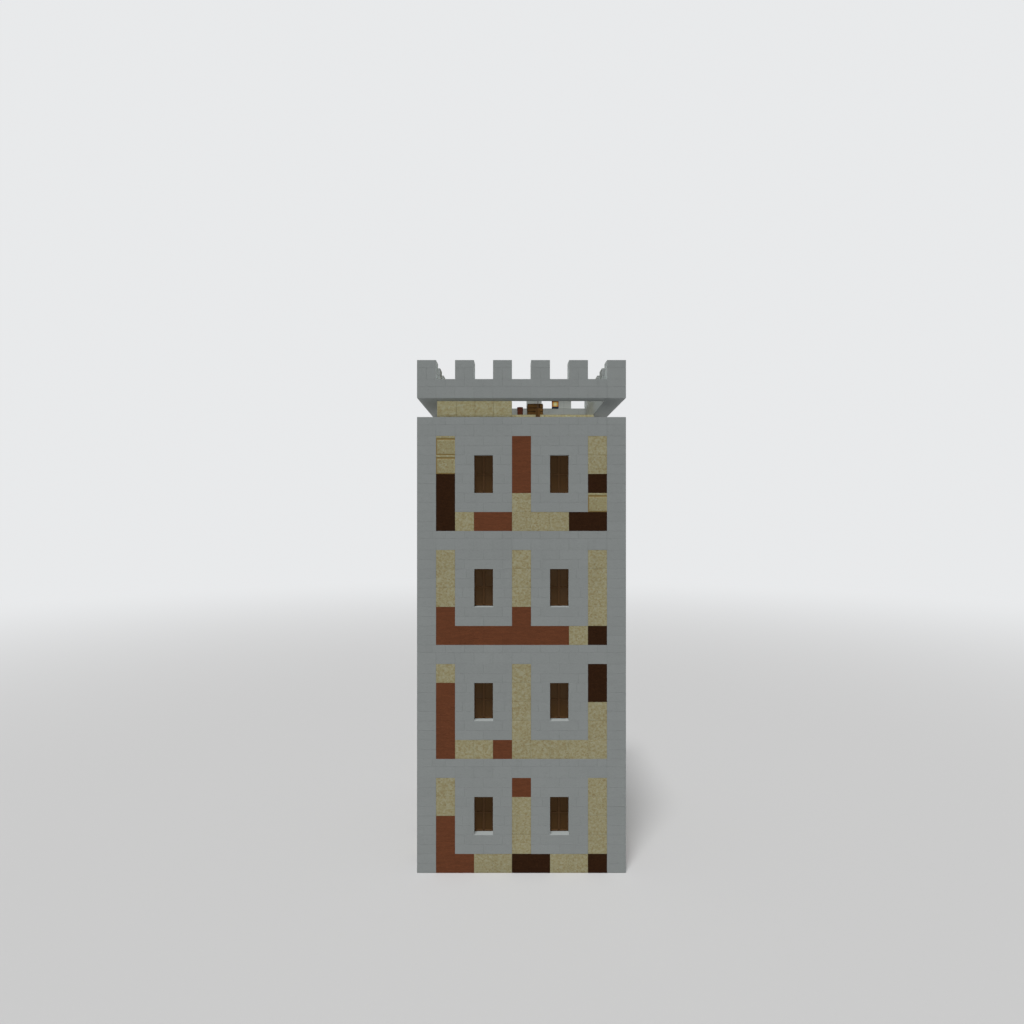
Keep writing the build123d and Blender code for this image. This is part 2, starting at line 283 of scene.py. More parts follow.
def box_lattice(cells: tuple[int, int, int]) -> tuple[np.ndarray, np.ndarray]:
    """Makes the surface of a box of cells.

    Each of the six sides is a grid over two parameters u and v, and the points that sides share are made
    one, so that the surface is closed.

    Args:
        cells: the number of cells on x, y and z.

    Returns:
        The lattice points as whole numbers, and the quads between them, facing out.
    """
    grids: list[np.ndarray] = []
    quads: list[np.ndarray] = []
    start = 0
    for axis in range(3):
        u_axis, v_axis = (axis + 1) % 3, (axis + 2) % 3
        u, v = np.meshgrid(np.arange(cells[u_axis] + 1), np.arange(cells[v_axis] + 1), indexing="ij")
        for end in (0, cells[axis]):
            grid = np.empty((u.size, 3), int)
            grid[:, axis], grid[:, u_axis], grid[:, v_axis] = end, u.ravel(), v.ravel()
            ids = start + np.arange(u.size).reshape(u.shape)
            loop = (ids[:-1, :-1], ids[1:, :-1], ids[1:, 1:], ids[:-1, 1:])
            quads.append(np.stack(loop if end else loop[::-1], -1).reshape(-1, 4))
            grids.append(grid)
            start += u.size
    lattice, index = np.unique(np.concatenate(grids), axis=0, return_inverse=True)
    return lattice, index.reshape(-1)[np.concatenate(quads)]


def ring_lattice(rings: int, corners: int) -> tuple[np.ndarray, np.ndarray]:
    """Numbers the points of closed rings and joins each ring to the next.

    Args:
        rings: the number of rings.
        corners: the points of each.

    Returns:
        The points' numbers, as [ring, corner], and the quads between the rings.
    """
    ids = np.arange(rings * corners).reshape(rings, corners)
    after = np.roll(ids, -1, axis=1)
    return ids, np.stack((ids[:-1], ids[1:], after[1:], after[:-1]), -1).reshape(-1, 4)


def circles(profile: Sequence[Pair], corners: int, twist: float = 0.0) -> np.ndarray:
    """Works out rings about Z: (r cos t, r sin t, z) for each (r, z) of a profile and each angle t.

    Args:
        profile: radii and heights.
        corners: the points of each ring.
        twist: the first point's angle.

    Returns:
        The places, as [ring, corner, axis].
    """
    angles = twist + 2 * np.pi * np.arange(corners) / corners
    r, z = np.array(profile).T
    heights = np.repeat(z[:, None], corners, axis=1)
    return np.stack((np.outer(r, np.cos(angles)), np.outer(r, np.sin(angles)), heights), -1)


def wave_field(points: np.ndarray, tones: np.ndarray, length: float) -> np.ndarray:
    """Works out a smooth field: the sum of six sine waves, each with its own direction and length.

    Args:
        points: places, as [body, point, axis].
        tones: one number from 0 to 1 a body, which shifts the waves from body to body.
        length: the mean length of the waves in metres.

    Returns:
        A number from 0 to 1 for each point.
    """
    draw = np.random.default_rng(11)
    directions = draw.normal(size=(6, 3))
    directions /= np.linalg.norm(directions, axis=1, keepdims=True)
    pace = 2 * np.pi * directions / (length * draw.uniform(0.5, 1.6, 6))[:, None]
    shifts = 2 * np.pi * tones[:, None] * np.array((7.0, 13.0, 19.0, 29.0, 37.0, 43.0))
    waves = np.sin(points @ pace.T + shifts[:, None]).mean(-1)
    return np.clip(0.5 + 0.9 * waves, 0.0, 1.0)


def grain_marks(points: np.ndarray, tones: np.ndarray, along: np.ndarray) -> np.ndarray:
    """Works out each point's place with its body's long axis put first, and shifted from body to body.

    Args:
        points: places, as [body, point, axis].
        tones: one number from 0 to 1 a body.
        along: each body's long axis, as 0, 1 or 2.

    Returns:
        The new places, one row a point.
    """
    order = (along[:, None] + np.arange(3)) % 3
    places = np.take_along_axis(points, np.repeat(order[:, None], points.shape[1], axis=1), axis=2)
    return (places + 40.0 * tones[:, None, None] * np.array((1.0, 0.7, 0.4))).reshape(-1, 3)


def body_marks(points: np.ndarray, tones: np.ndarray, edge: np.ndarray, bed: float,
               along: np.ndarray | None = None) -> dict[str, np.ndarray]:
    """Works out the marks of like bodies.

    Args:
        points: places, as [body, point, axis].
        tones: one number from 0 to 1 a body.
        edge: 1 for each point of a body that lies on an edge, otherwise 0.
        bed: 1 for mortar or a backing behind joints, otherwise 0.
        along: each body's long axis; without it the longest side is taken.

    Returns:
        tone, edge, bed and the painted fill light on faces in shade as numbers, and grain as a vector, for
        every point.
    """
    bodies, count = points.shape[:2]
    if along is None:
        along = (points.max(1) - points.min(1)).argmax(1)
    return {
        "tone": np.repeat(tones, count),
        "edge": np.broadcast_to(edge, (bodies, count)).reshape(-1).astype(float),
        "bed": np.full(bodies * count, bed),
        "shelter": np.zeros(bodies * count),
        "grain": grain_marks(points, tones, along),
    }


@dataclass(frozen=True)
class Cut:
    """How the stones or boards of a piece are cut, in metres.

    Args:
        joint, rounding: the width of the joints and the radius of the edges.
        recess: how far the mortar stands back.
        relief, wave: how uneven the faces are, and over what length.
        cells: the grid's cells on x, y and z.
    """

    joint: float = 0.004
    rounding: float = 0.007
    recess: float = 0.008
    relief: float = 0.0
    wave: float = 0.35
    cells: tuple[int, int, int] = (3, 3, 3)


def rounded_blocks(low: np.ndarray, high: np.ndarray, bare: np.ndarray, fill_shares: np.ndarray,
                   tones: np.ndarray, cut: Cut) -> Shell:
    """Makes blocks with rounded edges, all at once.

    A point p runs over the box's six sides, each a grid of two parameters. q is the nearest point to p in the
    box less the rounding r all round, and n is the direction from q to p. The surface is q + (r - d) n, where
    the depth d is the relief times a field of sine waves, whole where n points out of a bare side.

    Args:
        low: the blocks' lowest corners.
        high: their highest corners.
        bare: for each block, 1 where its low sides on x, y and z show, then the same for its high sides.
        fill_shares: in the same order, how much painted fill light makes the sides paler where shade falls on
            them.
        tones: one number from 0 to 1 a block.
        cut: the rounding, relief and cells.

    Returns:
        The blocks.
    """
    lattice, quads = box_lattice(cut.cells)
    cells = np.array(cut.cells)
    half = (high - low)[:, None] / 2
    inner = half - cut.rounding
    step = 2 * (lattice - 1) / (cells - 2) - 1
    p = np.where(lattice == 0, -half, np.where(lattice == cells, half, step * inner))
    q = np.clip(p, -inner, inner)
    n = (p - q) / np.linalg.norm(p - q, axis=-1, keepdims=True)
    shares = np.concatenate((np.minimum(n, 0) ** 2, np.maximum(n, 0) ** 2), -1)
    centre = (low + high)[:, None] / 2
    depth = cut.relief * (shares * bare[:, None]).sum(-1) * wave_field(centre + q, tones, cut.wave)
    points = centre + q + (cut.rounding - depth)[..., None] * n
    edge = (((lattice == 0) | (lattice == cells)).sum(1) > 1)[None]
    marks = body_marks(points, tones, edge, 0.0)
    # Painted fill light: each point's share of the paler sides that it faces.
    marks["shelter"] = (shares * fill_shares[:, None]).sum(-1).reshape(-1)
    return Shell(points.reshape(-1, 3), [repeated(quads, len(lattice), len(low))], marks)


def plain_boxes(low: np.ndarray, high: np.ndarray, tones: np.ndarray) -> Shell:
    """Makes boxes for mortar or linings behind joints: low + t (high - low), t each corner of a unit box.

    Args:
        low: the boxes' lowest corners.
        high: their highest corners.
        tones: one number from 0 to 1 a box.

    Returns:
        The boxes.
    """
    lattice, quads = box_lattice((1, 1, 1))
    points = low[:, None] + lattice * (high - low)[:, None]
    marks = body_marks(points, tones, np.zeros((1, 8)), 1.0)
    return Shell(points.reshape(-1, 3), [repeated(quads, 8, len(low))], marks)


def ring_bodies(points: np.ndarray, tones: np.ndarray, along: np.ndarray,
                edge: np.ndarray | None = None) -> Shell:
    """Makes closed bodies from rings of points.

    Each ring is joined to the next by quads, and the first and last are closed by flat polygons. The volume
    is the sum of (centre of face) . (area vector of face) / 3, and where it comes out negative the faces are
    turned to point out.

    Args:
        points: places, as [body, ring, corner, axis].
        tones: one number from 0 to 1 a body.
        along: each body's long axis.
        edge: 1 for each ring that lies on an edge, otherwise 0.

    Returns:
        The bodies.
    """
    bodies, rings, corners = points.shape[:3]
    ids, quads = ring_lattice(rings, corners)
    caps = np.stack((ids[0], ids[-1][::-1]))
    flat = points.reshape(bodies, -1, 3)
    a, b, c, d = (flat[0][quads[:, k]] for k in range(4))
    volume = (((a + b + c + d) / 4) * np.cross(c - a, d - b)).sum() / 6
    for cap in caps:
        fan = flat[0][cap]
        volume += (fan[0] * np.cross(fan[1:-1] - fan[0], fan[2:] - fan[0])).sum() / 6
    if volume < 0:
        quads, caps = quads[:, ::-1], caps[:, ::-1]
    edge = np.zeros(rings) if edge is None else edge
    marks = body_marks(flat, tones, np.repeat(edge, corners)[None], 0.0, along)
    return Shell(flat.reshape(-1, 3), [repeated(faces, ids.size, bodies) for faces in (quads, caps)], marks)


def turned_body(profile: Sequence[Pair], corners: int, twist: float = 0.0) -> Shell:
    """A closed body of rings about Z, through the radii and heights of a profile."""
    return ring_bodies(circles(profile, corners, twist)[None], np.array([0.5]), np.array([2]))


def square_body(profile: Sequence[Pair]) -> Shell:
    """A body of square plan: at each (a, z) of the profile, a square of half width a at height z."""
    return turned_body([(half * math.sqrt(2), z) for half, z in profile], 4, math.pi / 4)


def bar(profile: Sequence[Pair], axis: int, start: float, end: float, tone: float = 0.5) -> Shell:
    """Makes a straight bar: a profile on the two axes after a given one, carried along that one.

    Args:
        profile: the section's corners.
        axis: the bar's axis, as 0, 1 or 2.
        start: where it starts on that axis.
        end: where it ends.
        tone: its number from 0 to 1.

    Returns:
        The bar.
    """
    points = np.empty((1, 2, len(profile), 3))
    points[..., axis] = np.array((start, end))[None, :, None]
    for shift, places in enumerate(np.array(profile).T, 1):
        points[..., (axis + shift) % 3] = places
    return ring_bodies(points, np.array([tone]), np.array([axis]))


def placed(name: str, data: bpy.types.ID) -> bpy.types.Object:
    """Puts a mesh, lamp or camera into the scene.

    Args:
        name: the object's name.
        data: what it shows.

    Returns:
        The object.
    """
    item = bpy.data.objects.new(name, data)
    bpy.context.scene.collection.objects.link(item)
    return item


def put(name: str, shell: Shell, finish: bpy.types.Material, nodes: Sequence[str],
        crease: float = 20.0) -> None:
    """Makes a piece that rides on the tower and stands for CAD nodes.

    Args:
        name: the piece's name.
        shell: its surfaces, in place.
        finish: its material.
        nodes: the CAD nodes that it replaces, if any.
        crease: the angle in degrees above which edges stay sharp.
    """
    mesh = shell.mesh(name, crease)
    mesh.materials.append(finish)
    piece = placed(name, mesh)
    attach(piece, BODY)
    if nodes:
        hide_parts(*nodes)
    LOG.info("%s: %d faces, stands for %s", name, len(mesh.polygons), ", ".join(nodes) or "nothing")


def dress(node: str, finish: bpy.types.Material) -> None:
    """Gives a CAD node that stays its finish.

    Args:
        node: the node's name.
        finish: its material.
    """
    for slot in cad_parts[node].material_slots:
        slot.material = finish
    LOG.info("%s: dressed", node)


# Shaders


def operator(operation: str, reflected: bool = False) -> "Callable[[Term, Term | float], Term]":
    """Makes a method of terms that adds one Math node.

    Args:
        operation: the node's operation.
        reflected: whether the term is the second number.

    Returns:
        The method.
    """
    def method(self: "Term", other: "Term | float") -> "Term":
        """The operation's result."""
        first, second = (other, self) if reflected else (self, other)
        return Term(self.recipe, self.recipe.node("ShaderNodeMath", {"operation": operation},
                                                  {0: first, 1: second}).outputs[0])
    return method


class Term:
    """One number in a shader. Sums, differences and products of terms add their Math nodes."""

    def __init__(self, recipe: "Recipe", socket: bpy.types.NodeSocket) -> None:
        """Wraps an output socket of the recipe."""
        self.recipe = recipe
        self.socket = socket

    __add__, __radd__ = operator("ADD"), operator("ADD", True)
    __sub__, __rsub__ = operator("SUBTRACT"), operator("SUBTRACT", True)
    __mul__, __rmul__ = operator("MULTIPLY"), operator("MULTIPLY", True)
    largest = operator("MAXIMUM")

    def between(self, low: float, high: float) -> "Term":
        """0 up to low and 1 from high on, with a smooth step between them."""
        node = self.recipe.node("ShaderNodeMapRange", {"interpolation_type": "SMOOTHSTEP"},
                                {0: self, 1: low, 2: high, 3: 0.0, 4: 1.0})
        return Term(self.recipe, node.outputs[0])


Link = "bpy.types.NodeSocket | Colour"


class Recipe:
    """Builds one shader's nodes."""

    def __init__(self, tree: bpy.types.NodeTree) -> None:
        """Starts with an empty tree."""
        self.tree = tree
        tree.nodes.clear()

    def node(self, kind: str, settings: Mapping[str, object] | None = None,
             sockets: Mapping[int | str, object] | None = None) -> bpy.types.Node:
        """Adds a node.

        Args:
            kind: the node's type.
            settings: its settings, or a ramp's stops, which are set first.
            sockets: values, terms or links for its sockets, by name or number.

        Returns:
            The node.
        """
        node = self.tree.nodes.new(kind)
        for name, value in (settings or {}).items():
            if name == "stops":
                ramp = node.color_ramp
                ramp.interpolation = "EASE"
                while len(ramp.elements) < len(value):
                    ramp.elements.new(0.5)
                for element, (place, colour) in zip(ramp.elements, value):
                    element.position, element.color = place, (*colour, 1.0)
            else:
                setattr(node, name, value)
        for name, value in (sockets or {}).items():
            socket = node.inputs[name]
            value = value.socket if isinstance(value, Term) else value
            if isinstance(value, bpy.types.NodeSocket):
                self.tree.links.new(value, socket)
            elif isinstance(value, tuple) and socket.type == "RGBA":
                socket.default_value = (*value, 1.0)
            else:
                socket.default_value = value
        return node

    def place(self) -> bpy.types.NodeSocket:
        """Object coordinates."""
        return self.node("ShaderNodeTexCoord").outputs["Object"]

    def mark(self, name: str) -> Term:
        """A number that the mesh carries."""
        return Term(self, self.node("ShaderNodeAttribute", {"attribute_name": name}).outputs["Fac"])

    def grain(self) -> bpy.types.NodeSocket:
        """The place that the mesh carries, with the long axis first."""
        return self.node("ShaderNodeAttribute", {"attribute_name": "grain"}).outputs["Vector"]

    def upward(self, vector: bpy.types.NodeSocket) -> Term:
        """A vector's part on Z."""
        return Term(self, self.node("ShaderNodeSeparateXYZ", None, {0: vector}).outputs["Z"])

    def facing_up(self) -> Term:
        """1 where the surface faces up, 0 where it is upright or faces down."""
        return self.upward(self.node("ShaderNodeNewGeometry").outputs["Normal"]).between(0.55, 0.95)

    def height(self) -> Term:
        """The height above the ground."""
        return self.upward(self.place())

    def vector(self, operation: str, sockets: Mapping[int | str, object],
               output: str = "Vector") -> bpy.types.NodeSocket:
        """An output of a Vector Math node."""
        return self.node("ShaderNodeVectorMath", {"operation": operation}, sockets).outputs[output]

    def stretched(self, vector: bpy.types.NodeSocket, scale: Corner) -> bpy.types.NodeSocket:
        """The vector times a scale on each axis."""
        return self.node("ShaderNodeMapping", None, {"Vector": vector, "Scale": scale}).outputs[0]

    def scaled(self, colour: Link, factor: Term) -> bpy.types.NodeSocket:
        """The colour, or vector, times a factor."""
        return self.vector("SCALE", {0: colour, "Scale": factor})

    def shuffled(self, vector: bpy.types.NodeSocket, amount: Term) -> bpy.types.NodeSocket:
        """The vector shifted by an amount that differs from stone to stone."""
        return self.vector("ADD", {0: vector, 1: self.scaled((31.0, 17.0, 23.0), amount)})

    def noise(self, vector: bpy.types.NodeSocket, scale: float | Corner, detail: float = 2.0,
              rough: float = 0.5, distortion: float = 0.0) -> Term:
        """Adds soft noise.

        Args:
            vector: the place that it is read at.
            scale: waves a metre, or a scale for each axis.
            detail: the number of finer layers.
            rough: their strength.
            distortion: how far they are swirled.

        Returns:
            A number from 0 to 1 about a half.
        """
        if isinstance(scale, tuple):
            vector, scale = self.stretched(vector, scale), 1.0
        node = self.node("ShaderNodeTexNoise", None, {"Vector": vector, "Scale": scale, "Detail": detail,
                                                      "Roughness": rough, "Distortion": distortion})
        return Term(self, node.outputs["Fac"])

    def ramp(self, term: Term, stops: Stops) -> bpy.types.NodeSocket:
        """A colour for each value of the term."""
        return self.node("ShaderNodeValToRGB", {"stops": stops}, {0: term}).outputs[0]

    def blend(self, share: Term | float, first: Link, second: Link) -> bpy.types.NodeSocket:
        """The first colour at a share of 0 and the second at 1."""
        return self.node("ShaderNodeMix", {"data_type": "RGBA"}, {0: share, 6: first, 7: second}).outputs[2]

    def mixed(self, share: Term, first: bpy.types.Node, second: bpy.types.Node) -> bpy.types.NodeSocket:
        """The first node's light at a share of 0 and the second's at 1."""
        return self.node("ShaderNodeMixShader", None,
                         {0: share, 1: first.outputs[0], 2: second.outputs[0]}).outputs[0]

    def bump(self, height: Term, depth: float) -> bpy.types.NodeSocket:
        """Normals for a surface that rises by the depth, in metres, where the height is 1."""
        sockets = {"Strength": 1.0, "Distance": depth, "Height": height}
        return self.node("ShaderNodeBump", None, sockets).outputs[0]

    def seen(self) -> Term:
        """1 for rays from the camera, in gloss or through glass."""
        rays = self.node("ShaderNodeLightPath").outputs
        camera, gloss, glass = (Term(self, rays[f"Is {kind} Ray"])
                                for kind in ("Camera", "Glossy", "Transmission"))
        return camera.largest(gloss).largest(glass)

    def surface(self, sockets: Mapping[str, object]) -> None:
        """Ends a material with a principled surface."""
        shader = self.node("ShaderNodeBsdfPrincipled", None, sockets)
        self.node("ShaderNodeOutputMaterial", None, {"Surface": shader.outputs[0]})


def new_material(name: str) -> tuple[bpy.types.Material, Recipe]:
    """Adds an empty material.

    Args:
        name: its name.

    Returns:
        The material and the recipe that fills it.
    """
    material = bpy.data.materials.new(name)
    material.use_nodes = True
    return material, Recipe(material.node_tree)


def shown(red: float, green: float, blue: float, gain: float = 1.0) -> Colour:
    """A colour as a screen shows it, from 0 to 255, as a linear colour times a gain."""
    return tuple(gain * (((c / 255 + 0.055) / 1.055) ** 2.4 if c > 10 else c / 255 / 12.92)
                 for c in (red, green, blue))


@dataclass(frozen=True)
class MasonryFinish:
    """Stone or brick, with mottles and flecks, a shade of its own for each stone, and faint stains.

    Args:
        name: the material's name.
        stops: colours of the mottles, from the lowest noise to the highest.
        fleck, mortar, groove: the colours of the scattered flecks, the joints and carved grooves.
        mottle, stretch: mottles a metre, and how many times wider than high they are.
        flecks, spread: how strong the flecks are, and how far stones differ in shade.
        grit: the depth of the fine surface in metres.
        wear, bleach, clean: how much paler edges (on the cut blocks, painted highlight strips), faces that
            look up and faces in shade are; the last two are painted light.
        stain: how dark the weather stains are.
        roughness, specular: the shader's, the first varied over the surface.
    """

    name: str
    stops: Stops
    fleck: Colour
    mortar: Colour
    mottle: float = 9.0
    stretch: float = 1.6
    flecks: float = 0.0
    spread: float = 0.03
    grit: float = 0.0015
    wear_and_highlight: float = 0.06
    stain: float = 0.05
    painted_top_light: float = 0.44
    clean: float = 0.48
    groove: Colour | None = None
    roughness: float = 0.9
    specular: float = 0.2

    def build(self) -> bpy.types.Material:
        """Mottles, flecks, grooves and mortar give the colour; grit, stains, paler edges and painted light on
        faces that look up and on faces in shade scale it.

        Returns:
            The material.
        """
        material, recipe = new_material(self.name)
        place, tone, bed = recipe.place(), recipe.mark("tone"), recipe.mark("bed")
        own = recipe.shuffled(recipe.stretched(place, (1.0, 1.0, self.stretch)), tone)
        mottles = recipe.noise(own, self.mottle, 3.0, 0.55, 0.4)
        colour = recipe.ramp(mottles, self.stops)
        flecks = recipe.noise(own, self.mottle * 1.4, 1.0, 0.5, 0.2).between(0.63, 0.72) * self.flecks
        colour = recipe.blend(flecks, colour, self.fleck)
        if self.groove:
            colour = recipe.blend(recipe.mark("groove"), colour, self.groove)
        colour = recipe.blend(bed, colour, self.mortar)
        fine = recipe.noise(place, 160.0, 3.0, 0.65)
        broad = recipe.noise(place, 0.55, 3.0, 0.6)
        runs = recipe.noise(place, (2.6, 2.6, 0.16), 3.0, 0.6).between(0.5, 0.8)
        foot = 1.0 - recipe.height().between(0.0, 0.9)
        shade = 1.0 + (tone - 0.5) * (2 * self.spread) + (fine - 0.5) * 0.22
        shade = shade + (broad - 0.5) * self.stain * 1.6
        # Paler edges; on the cut blocks the edge mark holds painted highlight strips.
        shade = shade - runs * self.stain - foot * self.stain + recipe.mark("edge") * self.wear_and_highlight
        # Painted light: faces that look up are painted paler as if lit from above, and faces in shade paler
        # as if reached by fill light.
        shade = shade + recipe.facing_up() * self.painted_top_light + recipe.mark("shelter") * self.clean
        pits = recipe.noise(place, 42.0, 4.0, 0.6)
        recipe.surface({"Base Color": recipe.scaled(colour, shade),
                        "Roughness": self.roughness + (fine - 0.5) * 0.16 - flecks * 0.04,
                        "Normal": recipe.bump(fine * 0.35 + pits * 0.65 + mottles * 0.6, self.grit),
                        "Specular IOR Level": self.specular})
        return material


@dataclass(frozen=True)
class WoodFinish:
    """Timber: growth lines along the grain, fine fibres and a few darker streaks.

    Args:
        name: the material's name.
        colour, dark, seam: the colours of the wood, its growth lines and the gaps between boards.
        lines: growth lines a metre across the grain.
        depth: how deep the grain is in metres.
        spread: how far boards differ in shade.
        worn, dust: how much lighter edges are, darker below 0; and how much painted light makes faces that
            look up paler.
        roughness, specular: the shader's, the first varied over the surface.
    """

    name: str
    colour: Colour
    dark: Colour
    seam: Colour
    lines: float = 26.0
    depth: float = 0.0012
    spread: float = 0.07
    worn_and_highlight: float = 0.08
    dust: float = 0.0
    roughness: float = 0.75
    specular: float = 0.04

    def build(self) -> bpy.types.Material:
        """Growth lines and streaks give the colour; fibres, edges and painted light on faces that look up
        scale it.

        Returns:
            The material.
        """
        material, recipe = new_material(self.name)
        grain = recipe.grain()
        rings = recipe.noise(grain, (1.1, self.lines, self.lines), 3.0, 0.6, 0.8)
        fibres = recipe.noise(grain, (9.0, 240.0, 240.0), 2.0, 0.6)
        streaks = recipe.noise(grain, (0.5, 7.0, 7.0)).between(0.52, 0.74)
        colour = recipe.ramp(rings, ((0.34, self.dark), (0.52, self.colour), (0.72, self.colour)))
        colour = recipe.blend(streaks * 0.45, colour, self.dark)
        colour = recipe.blend(recipe.mark("bed"), colour, self.seam)
        shade = 1.0 + (recipe.mark("tone") - 0.5) * (2 * self.spread) + (fibres - 0.5) * 0.3
        # Painted light: faces that look up are painted paler, as if lit from above.
        shade = shade + recipe.mark("edge") * self.worn_and_highlight + recipe.facing_up() * self.dust
        recipe.surface({"Base Color": recipe.scaled(colour, shade),
                        "Roughness": self.roughness + (rings - 0.5) * 0.2,
                        "Normal": recipe.bump(rings * 0.7 + fibres * 0.3, self.depth),
                        "Specular IOR Level": self.specular})
        return material


@dataclass(frozen=True)
class MetalFinish:
    """Forged or cast metal with a dull skin, patches of patina and lighter edges.

    Args:
        name: the material's name.
        colour, patina: the colours of the metal and its duller patches.
        metallic: how metallic the bare parts are.
        depth: the depth of the hammered surface in metres.
        roughness, specular: the shader's, the first varied over the surface.
    """

    name: str
    colour: Colour
    patina: Colour
    metallic: float
    roughness: float
    depth: float = 0.0008
    specular: float = 0.2

    def build(self) -> bpy.types.Material:
        """Patches of patina dull the colour and the gloss.

        Returns:
            The material.
        """
        material, recipe = new_material(self.name)
        place = recipe.place()
        patches = recipe.noise(place, 14.0, 4.0, 0.6).between(0.44, 0.62)
        fine = recipe.noise(place, 190.0, 3.0, 0.6)
        dents = recipe.noise(place, 36.0)
        shade = 0.95 + (fine - 0.5) * 0.3 + recipe.mark("edge") * 0.25
        recipe.surface({"Base Color": recipe.scaled(recipe.blend(patches, self.colour, self.patina), shade),
                        "Metallic": self.metallic * (1.0 - patches * 0.7),
                        "Roughness": self.roughness + patches * 0.2 + (fine - 0.5) * 0.1,
                        "Normal": recipe.bump(dents * 0.7 + fine * 0.3, self.depth),
                        "Specular IOR Level": self.specular})
        return material


@dataclass(frozen=True)
class GlassFinish:
    """A tinted pane, a little wavy, with dust in soft patches.

    Args:
        name: the material's name.
        colour, dust: the colours of the glass and its dust.
        roughness, specular, alpha: the shader's, the first varied over the surface.
        flame: the place of the light behind it, if any.
        glow: the colour of that light's glow at each distance from it, in metres.
    """

    name: str
    colour: Colour
    dust: Colour
    roughness: float
    specular: float
    alpha: float = 1.0
    flame: Corner | None = None
    glow: Stops = ()

    def build(self) -> bpy.types.Material:
        """Dust clouds the colour; the glow, if any, is a ramp over the distance from the flame.

        Returns:
            The material.
        """
        material, recipe = new_material(self.name)
        place = recipe.place()
        cloud = recipe.noise(place, 2.3, 4.0, 0.6).between(0.4, 0.75)
        ripple = recipe.noise(recipe.stretched(place, (1.0, 1.0, 0.4)), 7.0)
        sockets = {"Base Color": recipe.blend(cloud * 0.35, self.colour, self.dust),
                   "Roughness": self.roughness + cloud * 0.15,
                   "Normal": recipe.bump(ripple, 0.002),
                   "Specular IOR Level": self.specular,
                   "Alpha": self.alpha}
        if self.flame:
            away = recipe.vector("DISTANCE", {0: place, 1: self.flame}, "Value")
            sockets["Emission Color"] = recipe.ramp(Term(recipe, away), self.glow)
            sockets["Emission Strength"] = 1.0
        recipe.surface(sockets)
        return material


@dataclass(frozen=True)
class LampFinish:
    """A lit lamp, warmer towards its foot and a little uneven.

    Args:
        name: the material's name.
        glow: the colour of its light at the foot and at the head.
        colour: its own colour there.
        rise: the heights of its foot and head.
    """

    name: str
    glow: tuple[Colour, Colour]
    colour: tuple[Colour, Colour]
    rise: Pair = (0.0, 1.0)

    def build(self) -> bpy.types.Material:
        """The light goes from the foot's colour to the head's, shaken by soft noise.

        Returns:
            The material.
        """
        material, recipe = new_material(self.name)
        rise = recipe.height().between(*self.rise)
        flicker = recipe.noise(recipe.place(), 16.0)
        recipe.surface({"Base Color": recipe.blend(rise, *self.colour), "Roughness": 0.4,
                        "Emission Color": recipe.blend((rise * 0.8 + flicker * 0.3).between(0.1, 0.9),
                                                       *self.glow),
                        "Emission Strength": 0.9})
        return material


@dataclass(frozen=True)
class ClayFinish:
    """Fired clay, streaked round by the wheel, with a paler bloom in patches.

    Args:
        name: the material's name.
        colour: the clay's colour.
        dark: the colour of its streaks.
        bloom: the colour of the pale patches.
    """

    name: str
    colour: Colour
    dark: Colour
    bloom: Colour

    def build(self) -> bpy.types.Material:
        """Flat streaks and patches darken the colour, and the bloom lies on the patches.

        Returns:
            The material.
        """
        material, recipe = new_material(self.name)
        place = recipe.place()
        streaks = recipe.noise(place, (3.0, 3.0, 60.0), 3.0, 0.6)
        patches = recipe.noise(place, 11.0, 4.0, 0.6)
        fine = recipe.noise(place, 230.0, 2.0, 0.6)
        colour = recipe.ramp(patches * 0.6 + streaks * 0.4, ((0.38, self.dark), (0.6, self.colour)))
        colour = recipe.blend(patches.between(0.6, 0.78) * 0.3, colour, self.bloom)
        recipe.surface({"Base Color": recipe.scaled(colour, 1.0 + (fine - 0.5) * 0.25),
                        "Roughness": 0.85 + (fine - 0.5) * 0.15,
                        "Normal": recipe.bump(streaks * 0.6 + fine * 0.4, 0.0012),
                        "Specular IOR Level": 0.05})
        return material


# Finishes of this tower


def stops(*pairs: tuple[float, Colour]) -> Stops:
    """Stops from noise levels and colours as a screen shows them."""
    return tuple((place, shown(*colour)) for place, colour in pairs)


def greys(step: float) -> Stops:
    """Stops for grey stone: a middle grey, darker and lighter at the ends by a share."""
    return stops(*((place, (123 * k, 127 * k, 126 * k))
                   for place, k in ((0.3, 1 - step), (0.46, 1.0), (0.6, 1.0), (0.75, 1 + step))))


GREY_STONE = MasonryFinish("grey_stone", greys(0.025), shown(108, 112, 110), shown(118, 121, 119),
                           mottle=7.0, stretch=2.2, flecks=0.25, spread=0.018, stain=0.03, wear_and_highlight=0.04)
# The reveal stones get more painted light on faces that look up and on faces in shade, the merlons more
# painted fill light.
REVEAL_STONE = replace(GREY_STONE, name="grey_stone_with_reveals", clean=0.85, painted_top_light=0.74)
MERLON_STONE = replace(GREY_STONE, name="merlon_stone", clean=0.95)
FLOOR_STONE = MasonryFinish("floor_stone", greys(0.04), shown(112, 115, 112), shown(104, 106, 103),
                            mottle=5.0, stretch=1.0, flecks=0.3, spread=0.04, stain=0.06)
SANDSTONE = MasonryFinish("sandstone", stops((0.35, (126, 115, 84)), (0.45, (132, 126, 95)),
                                             (0.54, (136, 130, 102)), (0.65, (140, 138, 113))),
                          shown(119, 105, 72), shown(122, 115, 88), mottle=7.5, stretch=1.2, flecks=0.9,
                          spread=0.02, grit=0.0025)
# The terrace gets less painted light on its top and more painted fill light on faces in shade.
TERRACE_STONE = replace(SANDSTONE, name="terrace_sandstone", painted_top_light=0.2, clean=0.62)
